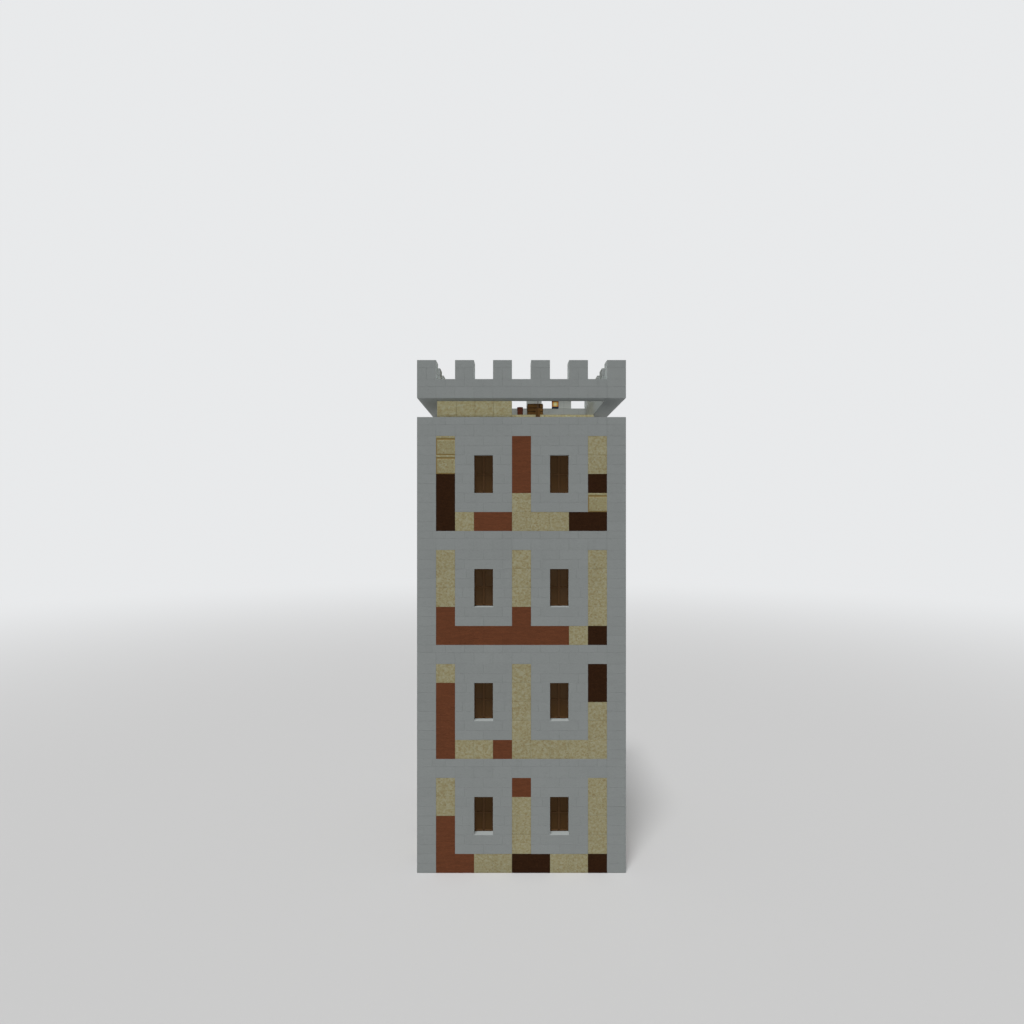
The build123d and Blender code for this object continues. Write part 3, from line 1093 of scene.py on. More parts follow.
# The cut blocks' edge mark holds painted highlight strips, which the edge setting makes paler.
CUT_SANDSTONE = MasonryFinish("cut_sandstone", stops((0.36, (124, 113, 82)), (0.45, (130, 124, 92)),
                                                     (0.56, (131, 125, 94)), (0.67, (138, 136, 112))),
                              shown(117, 101, 68), shown(118, 103, 68), mottle=8.5, stretch=1.2, flecks=0.9,
                              spread=0.015, grit=0.002, wear_and_highlight=0.13, groove=shown(121, 103, 62))
TERRACOTTA = MasonryFinish("terracotta",
                           stops((0.32, (84, 48, 29)), (0.5, (91, 53, 33)), (0.68, (97, 56, 35))),
                           shown(76, 45, 31), shown(80, 48, 32), mottle=6.0, stretch=5.0, flecks=0.4,
                           spread=0.07, grit=0.0012, wear_and_highlight=0.1, specular=0.1)
DARK_BRICK = MasonryFinish("dark_brick",
                           stops((0.32, (37, 20, 9)), (0.5, (42, 24, 11)), (0.68, (47, 28, 14))),
                           shown(51, 31, 18), shown(38, 23, 12), mottle=9.0, stretch=1.4, flecks=0.4,
                           spread=0.09, grit=0.0014, wear_and_highlight=0.16, specular=0.05)
# The window timber's faces that look up are painted paler, as if lit from above.
WINDOW_WOOD = WoodFinish("window_wood", shown(61, 43, 26, 1.43), shown(55, 38, 22, 1.43), shown(38, 27, 16),
                         lines=60.0, depth=0.0006, spread=0.03, dust=0.9)
PLANK_WOOD = WoodFinish("plank_wood", shown(80, 57, 29, 1.35), shown(56, 39, 19, 1.3), shown(20, 12, 5),
                        spread=0.26, worn_and_highlight=-0.7)
POST_WOOD = WoodFinish("post_wood", shown(82, 58, 30, 1.35), shown(54, 37, 18, 1.2), shown(36, 23, 10),
                       lines=18.0, depth=0.002, worn_and_highlight=-0.3)
IRON = MetalFinish("forged_iron", shown(54, 46, 38), shown(68, 50, 32), metallic=0.3, roughness=0.6)
BRONZE = MetalFinish("lantern_bronze", shown(118, 68, 34), shown(96, 56, 28), metallic=0.15, roughness=0.6,
                     depth=0.0004)
BASE_IRON = MetalFinish("lantern_base_iron", shown(38, 43, 56), shown(30, 35, 48), metallic=0.0,
                        roughness=0.7, specular=0.1)
WINDOW_GLASS = GlassFinish("window_glass", shown(57, 39, 19, 1.3), shown(60, 42, 21, 1.3), roughness=0.4,
                           specular=0.03)
AMBER_GLASS = GlassFinish("amber_glass", (0.10, 0.045, 0.010), (0.16, 0.09, 0.03), roughness=0.2,
                          specular=0.3, alpha=0.6,
                          glow=((0.182, (0.27, 0.31, 0.17)), (0.208, (0.27, 0.19, 0.040)),
                                (0.228, (0.29, 0.15, 0.020)), (0.250, (0.28, 0.085, 0.012))))
LAMP_GLOW = LampFinish("lamp_glow", ((0.62, 0.36, 0.10), (0.72, 0.70, 0.36)),
                       ((0.5, 0.3, 0.1), (0.7, 0.6, 0.35)))
POT_CLAY = ClayFinish("pot_clay", shown(80, 42, 30, 1.15), shown(66, 34, 25, 1.15), shown(96, 66, 54))


# Masonry


class Masonry:
    """Stones laid in the front wall's place, with a bed of mortar behind their joints.

    Args:
        cut: how the stones are cut.
        seed: the seed of what differs from stone to stone.
        shelter: how much painted fill light makes each face that shade falls on paler, apart from the corner
            stones' left sides.
    """

    def __init__(self, cut: Cut, seed: int, shelter: Mapping[Face, float] = PAINTED_FILL) -> None:
        """Starts with no stones laid."""
        self.cut = cut
        self.fill_shares = np.array([shelter.get(face, 0.0) for face in FACES])
        self.draw = np.random.default_rng(seed)
        self.stones: list[tuple[Corner, Corner, Face]] = []
        self.beds: list[tuple[Corner, Corner, Face]] = []

    def stone(self, low: Corner, high: Corner, bare: Face) -> None:
        """Lays one stone; a side that isn't bare stands back by half a joint."""
        self.stones.append((low, high, bare))

    def bed(self, low: Corner, high: Corner, bare: Face) -> None:
        """Lays mortar that fills a body of stones, set back where it is bare."""
        self.beds.append((low, high, bare))

    def course(self, joints: Sequence[float], depth: Pair, height: Pair, bare: Face,
               first: Face = Face.NONE, last: Face = Face.NONE) -> None:
        """Lays a row of stones.

        Args:
            joints: the places of the upright joints on x, with both ends.
            depth: the row's front and back on y.
            height: its foot and head on z.
            bare: the faces that show on every stone.
            first: more faces that show on the first stone.
            last: more faces that show on the last stone.
        """
        for index, (start, end) in enumerate(zip(joints, joints[1:])):
            more = (first if index == 0 else Face.NONE) | (last if index == len(joints) - 2 else Face.NONE)
            self.stone((start, depth[0], height[0]), (end, depth[1], height[1]), bare | more)

    @staticmethod
    def _arrays(bodies: Sequence[tuple[Corner, Corner, Face]]) -> tuple[np.ndarray, ...]:
        """Turns bodies into arrays.

        Args:
            bodies: low and high corners, and the faces that show.

        Returns:
            The low corners, the high ones, and 1 or 0 for each face that shows or doesn't.
        """
        low, high = (np.array([body[end] for body in bodies], float) for end in (0, 1))
        return low, high, np.array([[face in body[2] for face in FACES] for body in bodies], float)

    def shell(self) -> Shell:
        """Makes everything laid.

        Returns:
            The stones and beds as one shell.
        """
        shells = []
        if self.stones:
            low, high, bare = self._arrays(self.stones)
            gap = self.cut.joint / 2 * (1 - bare)
            fill_shares = bare * self.fill_shares
            # The corner stones' outer left sides get no painted fill light.
            fill_shares[low[:, 0] == SET.outer, 0] = 0.0
            shells.append(rounded_blocks(low + gap[:, :3], high - gap[:, 3:], bare, fill_shares,
                                         self.draw.random(len(low)), self.cut))
        if self.beds:
            low, high, bare = self._arrays(self.beds)
            back = self.cut.recess * bare
            shells.append(plain_boxes(low + back[:, :3], high - back[:, 3:], self.draw.random(len(low))))
        return Shell.joined(shells)


def steps(start: float, end: float, pitch: float = SET.block) -> list[float]:
    """Joints from start to end, a pitch apart."""
    return [float(x) for x in np.arange(start, end + pitch / 4, pitch)]


@dataclass
class GreyFrame:
    """The grey stones that frame the walls: piers, bands, window surrounds, parapet and merlons.

    Args:
        cut: how the stones are cut.
        shoulder: the head of the lower course in a band or parapet, above its foot.
        bearing_joint: where the upper course's second stone starts, clear of the slab's corner.
        merlon_columns: the columns that carry a merlon.
        jamb_splits: the upright joints in each course of a jamb, from the outer edge.
        parapet_sun: how many times more painted fill light the parapets' faces in shade that look left and
            right get.
        merlon_painted_fill: the same for the merlons.
        reveal_painted_fill: the same for the windows' reveals.
    """

    cut: Cut = Cut()
    shoulder: float = 0.6
    bearing_joint: float = 0.8
    merlon_columns: tuple[int, ...] = (2, 4, 6, 8)
    jamb_splits: tuple[tuple[float, ...], ...] = ((), (0.4,), (), (0.6,))
    parapet_sun: float = 3.2
    merlon_painted_fill: float = 2.3
    reveal_painted_fill: float = 1.5

    def _painted_fill(self, side: Side, paler: float) -> dict[Face, float]:
        """The painted fill light on a wall's faces in shade, stronger on those that look right and left."""
        across = (Face.LEFT, Face.RIGHT) if side in (Side.FRONT, Side.BACK) else (Face.BACK,)
        return PAINTED_FILL | dict.fromkeys(across, paler)

    def _quoined(self, work: Masonry, joints: Sequence[float], height: Pair, bare: Face = Face.NONE) -> None:
        """Lays a course right through the wall, which starts with the corner's own stone."""
        work.stone((SET.outer, SET.outer, height[0]), (SET.inner, SET.inner, height[1]), CORNER | bare)
        work.course(joints, (SET.outer, SET.inner), height, THROUGH | bare)

    def bands(self, side: Side) -> Shell:
        """Lays the band at the head of each storey, rebated for the slab that it carries.

        Args:
            side: the wall.

        Returns:
            Its bands, in the front wall's place.
        """
        work = Masonry(self.cut, Seed.BANDS.on(side))
        out, inn = SET.outer, SET.inner
        seat, start = out + SET.wall - SET.bearing, out + self.bearing_joint
        for foot in SET.feet():
            head = foot + SET.storey
            low, mid = head - SET.band, head - SET.band + self.shoulder
            top = Face.TOP if head == SET.roof else Face.NONE
            self._quoined(work, steps(inn, -inn), (low, mid))
            work.stone((out, out, mid), (start, inn, head), CORNER | top)
            work.course([start, *steps(inn + 0.5, -inn - 0.5), -inn], (out, seat), (mid, head), THROUGH | top)
            work.bed((out, out, low), (-inn, inn, mid), CORNER)
            work.bed((out, out, mid), (-inn, seat, head), CORNER | top)
        return work.shell()

    def pier(self, side: Side) -> Shell:
        """Lays the pier at a wall's left, in courses of half a block.

        Args:
            side: the wall.

        Returns:
            The pier, in the front wall's place.
        """
        work = Masonry(self.cut, Seed.PIERS.on(side))
        out, inn = SET.outer, SET.inner
        for foot in SET.feet():
            head = foot + SET.storey - SET.band
            for low in steps(foot, head - SET.bed_height, SET.bed_height):
                work.stone((out, out, low), (inn, inn, low + SET.bed_height), CORNER)
            work.bed((out, out, foot), (inn, inn, head), CORNER)
        return work.shell()

    def surrounds(self, side: Side) -> Shell:
        """Lays the sill, lintel and jambs of each window, in courses of half a block.

        Args:
            side: the wall.

        Returns:
            Its window stones, in the front wall's place.
        """
        # Painted fill light on the reveals' sides, stronger than on other faces in shade.
        paler = dict.fromkeys((Face.LEFT, Face.RIGHT), self.reveal_painted_fill)
        work = Masonry(self.cut, Seed.SURROUNDS.on(side), PAINTED_FILL | paler)
        out, inn, half = SET.outer, SET.inner, SET.bed_height
        for x, sill in SET.windows():
            left, right, head = x - 1.0, x + 2.0, sill + SET.window_height
            long, short = (left, x - 0.5, x + 1.5, right), (left, x + 0.5, right)
            for joints, low, middle in ((short, sill - 1.0, Face.NONE), (long, sill - half, Face.TOP),
                                        (long, head, Face.UNDER), (short, head + half, Face.NONE)):
                for number, (start, end) in enumerate(zip(joints, joints[1:])):
                    more = middle if number == 1 else Face.NONE
                    work.stone((start, out, low), (end, inn, low + half), THROUGH | more)
            for low, splits in zip(steps(sill, head - half, half), self.jamb_splits):
                joints, height = (0.0, *splits, 1.0), (low, low + half)
                work.course([left + j for j in joints], (out, inn), height, THROUGH, last=Face.RIGHT)
                work.course([right - j for j in joints[::-1]], (out, inn), height, THROUGH, first=Face.LEFT)
            for x0, z0, x1, z1, bare in (
                (left, sill - 1.0, right, sill, Face.TOP), (left, head, right, head + 1.0, Face.UNDER),
                (left, sill, x, head, Face.RIGHT), (x + 1.0, sill, right, head, Face.LEFT),
            ):
                work.bed((x0, out, z0), (x1, inn, z1), THROUGH | bare)
        return work.shell()

    def parapet(self, side: Side) -> Shell:
        """Lays the parapet over the open slot, in two courses.

        Args:
            side: the wall.

        Returns:
            Its parapet, in the front wall's place.
        """
        # Painted fill light on the parapet's faces in shade.
        work = Masonry(self.cut, Seed.PARAPET.on(side), self._painted_fill(side, self.parapet_sun))
        out, inn, foot = SET.outer, SET.inner, SET.terrace
        mid, head = foot + self.shoulder, foot + SET.block
        self._quoined(work, steps(inn, -inn), (foot, mid), Face.UNDER)
        self._quoined(work, [inn, *steps(inn + 0.5, -inn - 0.5), -inn], (mid, head), Face.TOP)
        work.bed((out, out, foot), (-inn, inn, head), ALL_FACES ^ Face.RIGHT)
        return work.shell()

    def merlons(self, side: Side) -> Shell:
        """Lays the corner's merlon and then one on every other block, each two stones under a capstone.

        Args:
            side: the wall.

        Returns:
            Its merlons, in the front wall's place.
        """
        # Painted fill light on the merlons' faces in shade.
        work = Masonry(self.cut, Seed.MERLONS.on(side), self._painted_fill(side, self.merlon_painted_fill))
        out, inn, foot = SET.outer, SET.inner, SET.terrace + SET.block
        for x in (out, *(SET.column(c) for c in self.merlon_columns)):
            shoulder, high = foot + self.shoulder, (x + 1.0, inn, foot + 1.0)
            work.course([x, x + 0.5, x + 1.0], (out, inn), (foot, shoulder), THROUGH, Face.LEFT, Face.RIGHT)
            work.stone((x, out, shoulder), high, ROUND_ABOUT | Face.TOP)
            work.bed((x, out, foot), high, ROUND_ABOUT | Face.TOP)
        return work.shell()

    def build(self) -> None:
        """Makes every grey piece."""
        slot, stone, reveal = "grey_stone", GREY_STONE.build(), REVEAL_STONE.build()
        for side in Side:
            for word, make, finish, nodes in (
                ("band", self.bands, stone, ("bands",)),
                ("window", self.surrounds, reveal, ("sills_lintels", "jambs")),
                ("parapet", self.parapet, stone, ("parapet",)),
            ):
                put(f"{side.word}_{word}_stones", make(side).turned(side.value), finish,
                    [f"{side.word}_{node}" for node in nodes])
        put("corner_pier_stones", all_round(self.pier), stone, ["corner_piers"])
        put("merlon_stones", all_round(self.merlons), MERLON_STONE.build(), ["merlons"])


class Stone(Enum):
    """What a block of the panels is made of."""

    SANDSTONE = "sandstone"
    TERRACOTTA = "terracotta"
    DARK_BRICK = "dark_brick"
    CUT_SANDSTONE = "cut_sandstone"


S, T, D, C = Stone


@dataclass(frozen=True)
class Bond:
    """Bricks laid in courses, half a brick off from one to the next.

    Args:
        length, height, joint, arris: the sizes of a brick, a joint and the bricks' sloped edges.
        recess, depth: how far the mortar stands back, and the bricks reach into the wall.
        slip: how far an upright joint strays.
        uneven: how far a brick stands back from its neighbours.
    """

    length: float
    height: float = 0.0625
    joint: float = 0.004
    arris: float = 0.003
    recess: float = 0.006
    depth: float = 0.10
    slip: float = 0.02
    uneven: float = 0.0015

    def rows(self, x0: float, z0: float, x1: float, z1: float, draw: np.random.Generator) -> np.ndarray:
        """Sets out the bricks of one panel.

        Args:
            x0: the panel's left edge.
            z0: its foot.
            x1: its right edge.
            z1: its head.
            draw: what the slips of the joints are drawn from.

        Returns:
            x0, z0, x1 and z1 for each brick.
        """
        bricks = []
        for row in range(round((z1 - z0) / self.height)):
            first = x0 + self.length * (0.5 if row % 2 else 1.0)
            inside = np.arange(first, x1 - self.length / 4, self.length)
            joints = np.concatenate([[x0], inside + draw.uniform(-self.slip, self.slip, len(inside)), [x1]])
            low = np.full(len(joints) - 1, z0 + row * self.height)
            bricks.append(np.stack((joints[:-1], low, joints[1:], low + self.height), 1))
        return np.concatenate(bricks)

    def shell(self, areas: Sequence[Area], seed: int) -> Shell:
        """Makes the bricks of some panels in front of their mortar.

        Each brick is three rectangles, closed at both ends: its face less the arris all round, its full
        outline at the arris' depth, and the same at its back.

        Args:
            areas: the panels.
            seed: the seed of what differs from brick to brick.

        Returns:
            The bricks and mortar, in the front wall's place.
        """
        draw = np.random.default_rng(seed)
        x0, z0, x1, z1 = np.concatenate([self.rows(*area, draw) for area in areas]).T[..., None]
        inset = self.joint / 2 + self.arris * np.array((1.0, 0.0, 0.0))[None]
        left, foot, right, head = x0 + inset, z0 + inset, x1 - inset, z1 - inset
        face = SET.outer + draw.uniform(0.0, self.uneven, len(x0))[:, None]
        points = np.empty((len(x0), 3, 4, 3))
        points[..., 0] = np.stack((left, right, right, left), -1)
        points[..., 1] = (face + np.array((0.0, self.arris, self.depth)))[..., None]
        points[..., 2] = np.stack((foot, foot, head, head), -1)
        bricks = ring_bodies(points, draw.random(len(x0)), np.zeros(len(x0), int), np.array((0.0, 1.0, 0.0)))
        low = np.array([(a, SET.outer + self.recess, b) for a, b, _, _ in areas])
        high = np.array([(c, SET.outer + SET.panel, d) for _, _, c, d in areas])
        return Shell.joined([bricks, plain_boxes(low, high, draw.random(len(low)))])


@dataclass(frozen=True)
class CutFace:
    """A sandstone block with a fascia along its head, a groove under it, and a raised face with a margin.

    Args:
        joint, bevel: the widths of the joint and of the slope at the edges of the groove and margin.
        margin: the width of the margin at the left and the foot.
        fascia, groove: the heights of the strip along the head and of the groove under it.
        depth, relief: how far groove and margin are cut back, and how uneven the raised face is.
        worn, blur: the width of the painted highlight strips at the heads and the right, where light would
            catch, and their fading.
        arris: the width and depth of the slope at the block's own edges.
        middle, upright: the ends of the grid's even part, and its number, on x and on z.
        bed: how far behind the groove the mortar starts, and ends before the block's back.
        near: what counts as the same place.
    """

    joint: float = 0.006
    margin: float = 0.0625
    fascia: float = 0.108
    groove: float = 0.098
    depth: float = 0.015
    bevel: float = 0.007
    relief: float = 0.003
    worn_and_highlight: float = 0.055
    blur: float = 0.012
    arris: float = 0.004
    middle: tuple[float, float, int] = (0.15, 0.88, 9)
    upright: tuple[float, float, int] = (0.14, 0.68, 8)
    bed: Pair = (0.008, 0.012)
    near: float = 0.001

    def _ramp(self, value: np.ndarray, start: float) -> np.ndarray:
        """0 up to the start and 1 from a bevel's width past it."""
        return np.clip((value - start) / self.bevel, 0.0, 1.0)

    def shell(self, corners: Sequence[Pair], seed: int) -> Shell:
        """Makes the blocks.

        The front is a grid over x and z, cut back by depth times (1 - raised), where raised is the larger of
        a ramp over the fascia and the product of the ramps at the face's edges. The back is flat.

        Args:
            corners: their lowest left corners.
            seed: the seed of what differs from block to block.

        Returns:
            The blocks and their mortar, in the front wall's place.
        """
        gap, head, foot = self.joint / 2, 1.0 - self.fascia - self.groove, self.margin - self.bevel
        strips = np.array((self.worn_and_highlight + self.blur, self.worn_and_highlight))
        first = (gap, gap + self.arris, foot, self.margin)
        last = (*(1 - strips), 1 - gap - self.arris, 1 - gap)
        xs = np.array([*first, *np.linspace(*self.middle), *last])
        zs = np.array([*first, *np.linspace(*self.upright), *(head - strips), head, head + self.bevel,
                       1 - self.fascia - self.bevel, 1 - self.fascia, *last])
        lattice, quads = box_lattice((len(xs) - 1, 1, len(zs) - 1))
        x, z, front = xs[lattice[:, 0]], zs[lattice[:, 2]], lattice[:, 1] == 0
        face = self._ramp(x, foot) * self._ramp(z, foot) * (1 - self._ramp(z, head))
        raised = np.maximum(face, self._ramp(z, 1 - self.fascia - self.bevel))
        rim = np.minimum(np.minimum(x, 1 - x), np.minimum(z, 1 - z)) < gap + self.near
        tones = np.random.default_rng(seed).random(len(corners))
        starts = np.array([(a, 0.0, b) for a, b in corners])
        places = np.stack((x, np.zeros_like(x), z), 1)[None] + starts[:, None]
        rough = self.relief * wave_field(places, tones, 0.3)
        cut = SET.outer + self.depth * (1 - raised) + rough + self.arris * rim
        places[..., 1] = np.where(front, cut, SET.outer + SET.panel)
        # Painted highlight: pale strips along the heads of the fascia and of the raised face and down its
        # right side, passed on as the edge mark.
        pale = (z > head - self.worn_and_highlight - self.near) | (x > 1 - self.worn_and_highlight - self.near)
        pale = (pale & (z < head + self.near)) | (z > 1 - self.worn_and_highlight - self.near)
        marks = body_marks(places, tones, (pale & (raised > 0.5) & front)[None], 0.0)
        marks["groove"] = np.tile(np.where(front, 1 - raised, 0.0), len(corners))
        blocks = Shell(places.reshape(-1, 3), [repeated(quads, len(lattice), len(corners))], marks)
        low = starts + np.array((0.0, SET.outer + self.depth + self.bed[0], 0.0))
        beds = plain_boxes(low, low + np.array((1.0, SET.panel - self.depth - sum(self.bed), 1.0)), tones)
        beds.marks["groove"] = np.zeros(len(beds.points))
        return Shell.joined([blocks, beds])


@dataclass
class Panels:
    """The blocks and brickwork between the grey stones.

    Args:
        base: the base course of each storey from left to right, as runs of like blocks.
        strips: the strips left, middle and right of the windows, as runs from the base course up.
        strip_columns: the columns of the strips.
        cut: how the sandstone blocks are cut.
        long_brick: the terracotta's bond.
        small_brick: the dark brick's bond.
        cut_face: the shape of the cut blocks.
    """

    base: tuple[tuple[tuple[Stone, int], ...], ...] = (
        ((T, 2), (S, 2), (D, 2), (S, 2), (D, 1)),
        ((T, 1), (S, 2), (T, 1), (S, 5)),
        ((T, 7), (S, 1), (D, 1)),
        ((D, 1), (S, 1), (T, 2), (S, 3), (D, 2)),
    )
    strips: tuple[tuple[tuple[tuple[Stone, int], ...], ...], ...] = (
        (((T, 2), (S, 2)), ((S, 3), (T, 1)), ((S, 4),)),
        (((T, 3), (S, 1)), ((S, 4),), ((S, 2), (D, 2))),
        (((T, 1), (S, 3)), ((T, 1), (S, 3)), ((S, 4),)),
        (((D, 2), (C, 2)), ((S, 1), (T, 3)), ((C, 1), (D, 1), (S, 2))),
    )
    strip_columns: tuple[int, ...] = (1, 5, 9)
    cut: Cut = Cut(joint=0.006, rounding=0.016, recess=0.016, relief=0.010, wave=0.3, cells=(12, 3, 12))
    long_brick: Bond = Bond(0.5)
    small_brick: Bond = Bond(0.25)
    cut_face: CutFace = CutFace()

    def courses(self, stone: Stone) -> list[Area]:
        """Finds the runs of one stone in the base courses.

        Args:
            stone: the stone.

        Returns:
            The runs' areas.
        """
        runs = []
        for foot, course in zip(SET.feet(), self.base):
            column = 1
            for kind, count in course:
                if kind is stone:
                    runs.append((SET.column(column), foot, SET.column(column + count), foot + 1.0))
                column += count
        return runs

    def uprights(self, stone: Stone) -> list[Area]:
        """Finds the runs of one stone in the strips.

        Args:
            stone: the stone.

        Returns:
            The runs' areas.
        """
        runs = []
        for foot, strips in zip(SET.feet(), self.strips):
            for column, strip in zip(self.strip_columns, strips):
                x, z = SET.column(column), foot + 1.0
                for kind, count in strip:
                    if kind is stone:
                        runs.append((x, z, x + 1.0, z + count))
                    z += count
        return runs

    def blocks(self, areas: Sequence[Area], seed: int) -> Shell:
        """Lays sandstone blocks in some areas of a wall.

        Args:
            areas: the areas.
            seed: the seed of what differs from block to block.

        Returns:
            The blocks and their mortar, in the front wall's place.
        """
        work = Masonry(self.cut, seed)
        depth = (SET.outer, SET.outer + SET.panel)
        for x0, z0, x1, z1 in areas:
            for low in steps(z0, z1 - 1.0):
                work.course(steps(x0, x1), depth, (low, low + 1.0), THROUGH)
            work.bed((x0, depth[0], z0), (x1, depth[1], z1), THROUGH)
        return work.shell()

    def build(self) -> None:
        """Makes every panel's piece."""
        for stone, word, finish, lay in (
            (S, "sandstone_{}_blocks", SANDSTONE, self.blocks),
            (T, "terracotta_{}_bricks", TERRACOTTA, self.long_brick.shell),
            (D, "dark_{}_bricks", DARK_BRICK, self.small_brick.shell),
        ):
            material = finish.build()
            for place, areas in (("course", self.courses(stone)), ("strip", self.uprights(stone))):
                seed = Seed[f"{stone.name}_{place.upper()}S"]
                put(word.format(place), all_round(lambda side: lay(areas, seed.on(side))), material,
                    [f"{stone.value}_{place}s"])
        corners = [(x0, low) for x0, z0, _, z1 in self.uprights(C) for low in steps(z0, z1 - 1.0)]
        faces = all_round(lambda side: self.cut_face.shell(corners, Seed.CUT_BLOCKS.on(side)))
        put("cut_sandstone_faces", faces, CUT_SANDSTONE.build(), ["cut_sandstone_blocks"])


# Windows


@dataclass
class Joinery:
    """The window frames: moulded frame, mullion with the line where two casements meet, transom and beads.

    Args:
        setback: how far the frame's front stands back from the wall's face.
        depth, width: the thickness of the frame and the width of its members.
        mullion, transom: the width of the one and the height of the other.
        proud: how far the mullion stands in front of the transom.
        bevel, line: the bevel of the bars, and the groove between the casements, wide and deep.
        bead: the width of the glazing beads.
        bead_front, glass_front: how far behind the frame's front the beads and the glass start.
        ovolo: the moulding down to the glass, in from the member's inner edge and behind its front.
        tones: what the four members of a frame add to its tone.
    """

    setback: float = 0.4375
    depth: float = 0.125
    width: float = 0.0625
    mullion: float = 0.1
    transom: float = 0.0625
    proud: float = 0.006
    bevel: float = 0.010
    line: Pair = (0.004, 0.007)
    bead: float = 0.014
    bead_front: float = 0.030
    glass_front: float = 0.0505
    ovolo: tuple[Pair, ...] = ((0.0, 0.040), (0.005, 0.033), (0.012, 0.022), (0.021, 0.014), (0.026, 0.010),
                               (0.026, 0.004), (0.029, 0.0))
    tones: tuple[float, ...] = (0.0, 0.27, 0.53, 0.81)

    @property
    def front(self) -> float:
        """The front of the frames, on y."""
        return SET.outer + self.setback

    def mitred(self, opening: Area, profile: Sequence[Pair], tone: float) -> Shell:
        """Makes four mitred members round an opening.

        A member's profile point (a, y) lies a inside the opening's edge and y behind the frame's front. It
        runs straight from the corner inset by a to the next corner inset by a.

        Args:
            opening: the opening.
            profile: the members' section.
            tone: the frame's number from 0 to 1.

        Returns:
            The members.
        """
        x0, z0, x1, z1 = opening
        a, y = np.array(profile).T
        corners = np.array(((x0, z0, 1, 1), (x1, z0, -1, 1), (x1, z1, -1, -1), (x0, z1, 1, -1)), float)
        ends = np.empty((4, len(a), 3))
        ends[..., 0] = corners[:, :1] + corners[:, 2:3] * a
        ends[..., 1] = self.front + y
        ends[..., 2] = corners[:, 1:2] + corners[:, 3:4] * a
        members = np.stack((ends, np.roll(ends, -1, axis=0)), 1)
        tones = (tone + np.array(self.tones)) % 1.0
        return ring_bodies(members, tones, along=np.array((0, 2, 0, 2)))

    def frame_profile(self) -> list[Pair]:
        """The outer frame's section: flat in front, then a small ovolo down to the glass."""
        w, d, b = self.width, self.depth, self.bevel
        return [(0.0, 0.0), (0.0, d), (w - b, d), (w, d - b), *((w - a, y) for a, y in self.ovolo)]

    def upright(self, x: float, foot: float, head: float) -> Shell:
        """Makes the mullion, with its meeting line.

        Args:
            x: its middle.
            foot: its foot.
            head: its head.

        Returns:
            The mullion.
        """
        half, b, (gap, deep) = self.mullion / 2, self.bevel, self.line
        section = [(-half, self.depth - b), (-half, b), (-half + b, 0.0), (-gap, 0.0), (-gap * 0.6, deep),
                   (gap * 0.6, deep), (gap, 0.0), (half - b, 0.0), (half, b), (half, self.depth - b),
                   (half - b, self.depth), (-half + b, self.depth)]
        return bar([(x + u, self.front + v) for u, v in section], 2, foot, head, 0.31)

    def cross_bar(self, z: float, start: float, end: float) -> Shell:
        """Makes the transom.

        Args:
            z: its middle.
            start: its left end.
            end: its right end.

        Returns:
            The transom.
        """
        front, back = self.front + self.proud, self.front + self.depth - self.proud
        half, b = self.transom / 2, self.bevel
        section = [(front, -half + b), (front + b, -half), (back, -half), (back, half), (front + b, half),
                   (front, half - b)]
        return bar([(y, z + v) for y, v in section], 0, start, end, 0.64)

    def lights(self, x: float, z: float) -> list[Area]:
        """Sets out the four glazed openings of a window.

        Args:
            x: its left edge.
            z: its foot.

        Returns:
            The openings.
        """
        half_m, half_t, w = self.mullion / 2, self.transom / 2, self.width
        columns = ((x + w, x + 0.5 - half_m), (x + 0.5 + half_m, x + 1.0 - w))
        rows = ((z + w, z + 1.0 - half_t), (z + 1.0 + half_t, z + SET.window_height - w))
        return [(x0, z0, x1, z1) for x0, x1 in columns for z0, z1 in rows]

    def window(self, x: float, z: float, tone: float) -> Shell:
        """Makes one window's timber.

        Args:
            x: its left edge.
            z: its foot.
            tone: its number from 0 to 1.

        Returns:
            Its frame, mullion, transom and beads.
        """
        w = self.width
        outer = (x, z, x + 1.0, z + SET.window_height)
        bead = [(0.0, self.bead_front), (0.0, self.glass_front), (self.bead, self.glass_front),
                (self.bead, self.glass_front - 0.006), (self.bead * 0.35, self.bead_front)]
        return Shell.joined([
            self.mitred(outer, self.frame_profile(), tone),
            self.upright(x + 0.5, z + w, z + SET.window_height - w),
            self.cross_bar(z + SET.window_height / 2, x + w, x + 1.0 - w),
            *(self.mitred(light, bead, tone + 0.1) for light in self.lights(x, z)),
        ])

    def build(self) -> None:
        """Makes the frames of each wall and dresses the panes."""
        wood = WINDOW_WOOD.build()
        for side in Side:
            draw = np.random.default_rng(Seed.JOINERY.on(side))
            shell = Shell.joined(self.window(x, z, float(draw.random())) for x, z in SET.windows())
            put(f"{side.word}_window_joinery", shell.turned(side.value), wood,
                [f"{side.word}_window_frames"])
        dress("window_glass", WINDOW_GLASS.build())


# The roof


